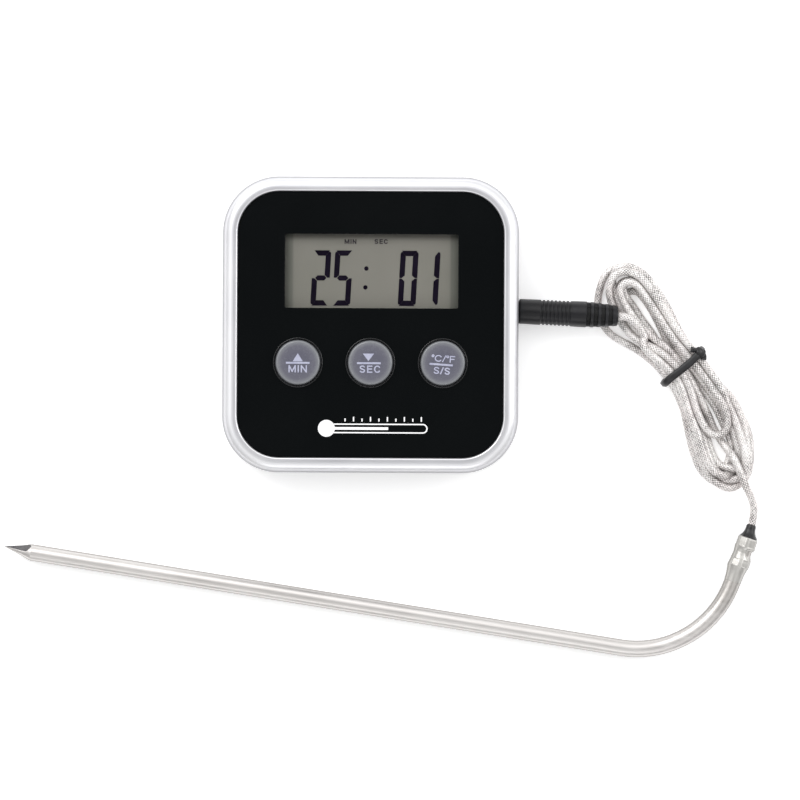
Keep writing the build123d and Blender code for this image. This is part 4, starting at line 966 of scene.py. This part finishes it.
def ground_point():
    """The probe's point, with its tip off the middle and one flat ground along it."""
    run = np.concatenate([np.linspace(0.0, 0.5, 8), np.linspace(0.55, POINT_LENGTH, 52)])
    width = np.interp(run, [0.0, 0.12, 0.5, 4.2, 6.0, POINT_LENGTH], [0.0, 0.09, 0.2, 1.24, 1.86, 2.0])
    off_middle = np.interp(run, [0.0, 5.0, POINT_LENGTH], [0.42, 0.12, 0.0])
    angle = round_steps(POINT_AROUND)
    side, rise = np.cos(angle)[None] * width[:, None], np.sin(angle)[None] * width[:, None]
    ground = ease((POINT_LENGTH - run) / 1.5)
    limit = (width * 0.6 * ground + width * (1 - ground))[:, None]
    over = np.maximum(0.0, side * FLAT_SIDE + rise * FLAT_UP - limit)
    side, rise = side - over * FLAT_SIDE, rise - over * FLAT_UP
    middle_line = POINT + run[:, None] * POINT_WAY + off_middle[:, None] * POINT_SIDE
    piece = tube("ground_point", middle_line, POINT_SIDE[None], UP[None], side, rise)
    place(piece, "probe_lead", "stainless", "probe_tip")
    # the ground flat wears painted shade
    second_finish(piece, ground_flat_painted_shade, (over > 1e-4).ravel())


ground_point()

# ---------- rubber domes under the keys (millimetres)
BOARD_TOP = 9.6
DOME_HEIGHT = 2.58
DOME_AROUND = 48
# radius and height above the board: down inside, round the base, and up outside
DOME_INSIDE = [(1.4, 1.7), (1.6, 1.45), (1.95, 0.95), (2.5, 0.5), (3.0, 0.25)]
DOME_BASE = [(3.0, 0.0), (4.2, 0.0), (4.2, 0.4), (4.1, 0.5)]
DOME_OUTSIDE = [(3.6, 0.5), (3.3, 0.62), (2.75, 1.05), (2.3, 1.7), (2.05, 2.3), (1.95, DOME_HEIGHT)]
DOME_MIDDLE = 0.1


def rubber_dome(name, x):
    """A hollow dome, closed where the key's stem stands on it."""
    inside, outside = catmull(DOME_INSIDE, 4), catmull(DOME_OUTSIDE, 4)
    rings = np.vstack([[(DOME_MIDDLE, 1.7)], inside, DOME_BASE, outside, [(DOME_MIDDLE, DOME_HEIGHT)]])
    axis = np.array((x, KEY_Y, BOARD_TOP)) + rings[:, 1:] * UP
    angle = round_steps(DOME_AROUND)
    right, up = np.array([[(1.0, 0.0, 0.0)], [(0.0, 1.0, 0.0)]])
    return tube(name, axis, right, up, rings[:, :1] * np.cos(angle), rings[:, :1] * np.sin(angle))


for key, x in KEYS.items():
    dome = place(rubber_dome("rubber_dome_" + key, x), "display_unit", "dome_rubber", "dome_" + key)
    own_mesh(dome)


# ---------- flat shapes and lettering (millimetres)
LAYER = 0.003
DISC_STEPS = 28


def plates(name, outlines, low, thick):
    """Thin plates in one piece; strokes that cross lie a hair above each other."""
    points, faces = [], []
    for k, outline in enumerate(outlines):
        n, base = len(outline), len(points)
        top = low + thick + LAYER * (k % 6)
        points += [(x, y, low) for x, y in outline] + [(x, y, top) for x, y in outline]
        faces.append(list(range(base, base + n))[::-1])
        faces.append(list(range(base + n, base + 2 * n)))
        faces += [(base + i, base + (i + 1) % n, base + n + (i + 1) % n, base + n + i) for i in range(n)]
    return mesh_object(name, points, faces, smooth=False)


def moved(outlines, centre, turn=0.0):
    """The outlines turned and then moved to a centre."""
    (u, v), c, s = centre, math.cos(turn), math.sin(turn)
    return [[(u + x * c - y * s, v + x * s + y * c) for x, y in outline] for outline in outlines]


def arc(x, y, r, angles):
    return [(x + r * math.cos(a), y + r * math.sin(a)) for a in angles]


def disc(x, y, r, count=DISC_STEPS):
    return arc(x, y, r, round_steps(count))


def rectangle(left, low, right, high):
    return [(left, low), (right, low), (right, high), (left, high)]


# strokes of each letter in a box one wide and one high
CURVE_S = [(0.97, 0.78), (0.8, 0.95), (0.5, 1.0), (0.2, 0.95), (0.05, 0.77), (0.18, 0.6), (0.5, 0.5)]
CURVE_S += [(1 - x, 1 - y) for x, y in CURVE_S[-2::-1]]
CURVE_C = [(0.98, 0.72), (0.86, 0.9), (0.52, 1.0), (0.17, 0.88), (0.0, 0.5)]
CURVE_C += [(0.17, 0.12), (0.52, 0.0), (0.86, 0.1), (0.98, 0.28)]
STEM, FAR_STEM, HEAD = [(0.0, 0.0), (0.0, 1.0)], [(1.0, 0.0), (1.0, 1.0)], [(0.0, 1.0), (1.0, 1.0)]
STROKES = {
    "M": [STEM, FAR_STEM, [(0.03, 1.0), (0.5, 0.08)], [(0.97, 1.0), (0.5, 0.08)]],
    "N": [STEM, FAR_STEM, [(0.03, 1.0), (0.97, 0.0)]],
    "I": [STEM],
    "S": [CURVE_S],
    "E": [STEM, HEAD, [(0.0, 0.52), (0.92, 0.52)], [(0.0, 0.0), (1.0, 0.0)]],
    "F": [STEM, HEAD, [(0.0, 0.5), (0.88, 0.5)]],
    "C": [CURVE_C],
    "/": [[(0.0, -0.02), (1.0, 1.02)]],
    "o": [arc(0.5, 0.5, 0.5, np.linspace(0, 2 * math.pi, 19))],
}


def ribbon(line, weight):
    """Flat outline of a pen stroke; a straight stroke is square at its ends."""
    straight = len(line) == 2
    p = np.asarray(line, float) if straight else catmull(line, 5)
    way = ways_along(p)
    p[0] -= way[0] * weight / 2 * straight
    p[-1] += way[-1] * weight / 2 * straight
    normal = np.stack([-way[:, 1], way[:, 0]], 1) * weight / 2
    return [tuple(q) for q in np.vstack([p - normal, (p + normal)[::-1]])]


def word(letters, centre, height, weight):
    """Outlines of a word; a letter is its name, left edge, width, and maybe foot and height."""
    outlines = []
    for name, left, width, *small in letters:
        foot, tall = small or (-height / 2, height)
        wide, high = max(width - weight, 0.0), tall - weight
        for stroke in STROKES[name]:
            line = [(left + weight / 2 + x * wide, foot + weight / 2 + y * high) for x, y in stroke]
            outlines.append(ribbon(line, weight))
    return moved(outlines, centre)


# ---------- display (millimetres)
GLASS_TOP = 15.1
FIGURE_THICK = 0.05
# a figure's size, the width of its segments, their slant and half the gap between them
DIGIT, STROKE, SLANT, HALF_GAP = (4.24, 13.07), 1.26, math.tan(math.radians(3.0)), 0.07
DIGIT_Y = 11.05
DIGITS = {"2": "abged", "5": "afgcd", "0": "abcdef", "1": "bc"}
SHOWN = (("2", -11.84), ("5", -6.66), ("0", 8.83), ("1", 14.02))
COLON = [disc(-1.07, 13.33, 0.52), disc(-1.28, 8.86, 0.52)]
WORD_HEIGHT, WORD_PEN = 1.1, 0.24


def rounded(corner, before, after, reach):
    """Three points round a corner."""
    c, b, a = (np.array(p, float) for p in (corner, before, after))
    first = c + (b - c) / np.linalg.norm(b - c) * reach
    last = c + (a - c) / np.linalg.norm(a - c) * reach
    return [tuple(first), tuple(c * 0.5 + (first + last) * 0.25), tuple(last)]


def digit_outlines(figure, x):
    """Slanted seven-segment outlines of one figure centred at x."""
    w, h, t, g = DIGIT[0] / 2, DIGIT[1] / 2, STROKE, HALF_GAP
    upright = rounded((w, h - 0.25), (w - 0.6, h - 0.3), (w, 0), 0.5)
    upright += [(w, g), (w - t * 0.45, g), (w - t, t * 0.5 + g), (w - t, h - t - g)]
    ends = [(-w + t * 0.62, 0), (-w + t * 1.05, t * 0.48), (w - t * 1.05, t * 0.48)]
    shapes = {
        "a": [(-w + 0.28, h), (w - 0.28, h), (w - t + 0.02, h - t), (-w + t - 0.02, h - t)],
        "b": upright,
        "g": ends + [(-px, -py) for px, py in ends],
    }
    shapes["d"] = [(px, -py) for px, py in shapes["a"]][::-1]
    shapes["c"] = [(px, -py) for px, py in shapes["b"]][::-1]
    shapes["f"] = [(-px, py) for px, py in shapes["b"]][::-1]
    shapes["e"] = [(-px, -py) for px, py in shapes["b"]]
    turned = []
    for segment in DIGITS[figure]:
        outline = [(px + x + py * SLANT, py + DIGIT_Y) for px, py in shapes[segment]]
        area = sum(a[0] * b[1] - b[0] * a[1] for a, b in zip(outline, outline[1:] + outline[:1]))
        turned.append(outline if area > 0 else outline[::-1])
    return turned


figures = [outline for figure, x in SHOWN for outline in digit_outlines(figure, x)] + COLON
display_figures = plates("display_figures", figures, GLASS_TOP, FIGURE_THICK)
place(display_figures, "display_unit", "lcd", finish=segment_ink)
words = word([("M", -1.4, 1.15), ("I", 0.0, 0.24), ("N", 0.5, 0.9)], (-4.86, 19.68), WORD_HEIGHT, WORD_PEN)
words += word([("S", -1.6, 0.95), ("E", -0.4, 0.8), ("C", 0.62, 0.98)], (2.40, 19.72), WORD_HEIGHT, WORD_PEN)
display_words = plates("display_words", words, GLASS_TOP, FIGURE_THICK)
place(display_words, "display_unit", "lcd", finish=icon_ink)

# ---------- print on the keys and the panel (millimetres)
KEY_TOP = 18.5
PANEL_TOP = 17.3
INK = 0.03
PEN = 0.3
BAR_HALF = 0.225


def bar(x, y, width):
    """Level line between the two rows of a key's print."""
    return rectangle(x - width / 2, y - BAR_HALF, x + width / 2, y + BAR_HALF)


PRINTS = {
    "minutes": [[(-1.2, 0.25), (1.2, 0.25), (0.0, 2.16)], bar(0.0, -0.1, 5.6)]
    + word([("M", -2.18, 1.75), ("I", -0.02, PEN), ("N", 0.7, 1.48)], (0.0, -1.51), 1.72, PEN),
    "seconds": [[(-1.79, 2.16), (-0.45, 0.40), (0.89, 2.16)], bar(-0.35, -0.1, 5.6)]
    + word([("S", -2.46, 1.4), ("E", -0.65, 1.25), ("C", 0.98, 1.5)], (-0.1, -1.51), 1.72, PEN),
    "mode": [bar(-0.37, -0.37, 5.5)]
    + word([("o", -2.8, 0.72, 0.18, 0.66), ("C", -2.0, 1.7), ("F", 1.55, 1.25)], (0.0, 1.05), 1.6, 0.27)
    + word([("/", -0.2, 0.9), ("o", 0.68, 0.72, 0.18, 0.66)], (0.0, 1.05), 1.6, 0.24)
    + word([("S", -1.97, 1.4), ("/", -0.4, 0.8), ("S", 0.57, 1.4)], (-0.1, -1.82), 1.65, PEN),
}
# the round keys can sit a little turned
KEY_TURN = {"mode": math.radians(-4.0)}
for key, x in KEYS.items():
    key_print = plates("print_" + key, moved(PRINTS[key], (x, KEY_Y), KEY_TURN.get(key, 0.0)), KEY_TOP, INK)
    place(key_print, key + "_key", "smoke_key", finish=key_ink)

# polished edge of the panel round each key
EDGE_RADIUS, EDGE_HALF = 5.78, 0.08
for key, x in KEYS.items():
    edge_circle = arc(x, KEY_Y, EDGE_RADIUS, np.linspace(0, 2 * math.pi, 121))
    edge_line = [(*point, PANEL_TOP - 0.03) for point in edge_circle]
    place(sweep("edge_" + key, edge_line, EDGE_HALF, 12), "display_unit", "black_panel", finish=edge_black)

# generic mark below the keys: a thermometer lying beside its scale
MARK_CENTRE = (0.7, -24.5)
MARK_LEFT, MARK_RIGHT = -9.3, 11.75
TICKS, TICK_HALF, TICK_FOOT = 10, 0.15, 1.65


def stem_edge(r):
    """Line round the thermometer's stem, at r from its middle."""
    end = arc(MARK_RIGHT, 0.0, r, np.linspace(math.pi / 2, -math.pi / 2, 18))
    return [(MARK_LEFT, r)] + end + [(MARK_LEFT, -r)]


mark = [disc(-11.0, 0.0, 2.0, 48), rectangle(-9.4, -0.32, 3.6, 0.32)]
mark.append(stem_edge(0.85) + stem_edge(1.15)[::-1])
for k in range(TICKS):
    x, top = -6.6 + 2.0 * k, 2.75 if k % 2 else 2.35
    mark.append(rectangle(x - TICK_HALF, TICK_FOOT, x + TICK_HALF, top))
panel_mark = plates("panel_mark", moved(mark, MARK_CENTRE), PANEL_TOP, INK)
place(panel_mark, "display_unit", "black_panel", finish=white_ink)

# ---------- stage, light and finish (metres)
FLOOR_HALF = 6.0
floor_mesh = bpy.data.meshes.new("floor")
floor_corners = [(x, y, 0.0) for x, y in rectangle(-FLOOR_HALF, -FLOOR_HALF, FLOOR_HALF, FLOOR_HALF)]
floor_mesh.from_pydata(floor_corners, [], [(0, 1, 2, 3)])
floor = bpy.data.objects.new("floor", floor_mesh)
scene.collection.objects.link(floor)
paper = Finish("white_paper", Roughness=0.95, Specular_IOR_Level=0.05)
paper.use(Emission_Color=(1.0, 1.0, 1.0, 1.0), Emission_Strength=0.38)
paper.use(Base_Color=paper.ramp(paper.noise(3.0), (0.3, (246, 246, 247)), (0.7, (249, 249, 249))))
floor_mesh.materials.append(paper.material)

# a pale sky that is dark straight above, so that the glossy panel stays black
SKY = ((0.0, 0.42), (0.45, 0.52), (0.72, 0.86), (0.955, 1.0), (0.988, 0.02))
SKY_LEAN, SKY_LEVEL = 0.6, 1.12
world = bpy.data.worlds.new("studio")
world.use_nodes = True
scene.world = world
tree = world.node_tree
sky = tree.nodes["Background"]
axes = tree.nodes.new("ShaderNodeSeparateXYZ")
tree.links.new(tree.nodes.new("ShaderNodeTexCoord").outputs["Generated"], axes.inputs[0])
sky_ramp = tree.nodes.new("ShaderNodeValToRGB")
tree.links.new(axes.outputs["Z"], sky_ramp.inputs["Fac"])
fill_ramp(sky_ramp, [(position, (grey, grey, grey, 1.0)) for position, grey in SKY])
tree.links.new(sky_ramp.outputs["Color"], sky.inputs["Color"])
lean = tree.nodes.new("ShaderNodeMath")
lean.operation = "MULTIPLY_ADD"
tree.links.new(axes.outputs["Y"], lean.inputs[0])
lean.inputs[1].default_value = SKY_LEAN
lean.inputs[2].default_value = SKY_LEVEL
tree.links.new(lean.outputs[0], sky.inputs["Strength"])


def softbox(name, stand_at, size, watts):
    """Rectangular lamp that faces the object."""
    lamp = bpy.data.lights.new(name, "AREA")
    lamp.shape = "RECTANGLE"
    lamp.size, lamp.size_y = size
    lamp.energy = watts
    holder = bpy.data.objects.new(name, lamp)
    holder.location = stand_at
    aim = Vector((0.0, -0.01, 0.0)) - Vector(stand_at)
    holder.rotation_euler = aim.to_track_quat("-Z", "Y").to_euler()
    scene.collection.objects.link(holder)


softbox("upper_left", (-0.34, 0.44, 0.55), (0.5, 0.4), 2.4)
softbox("right", (0.6, 0.12, 0.42), (0.3, 0.5), 1.2)
softbox("front", (0.02, -0.62, 0.42), (0.6, 0.25), 0.8)
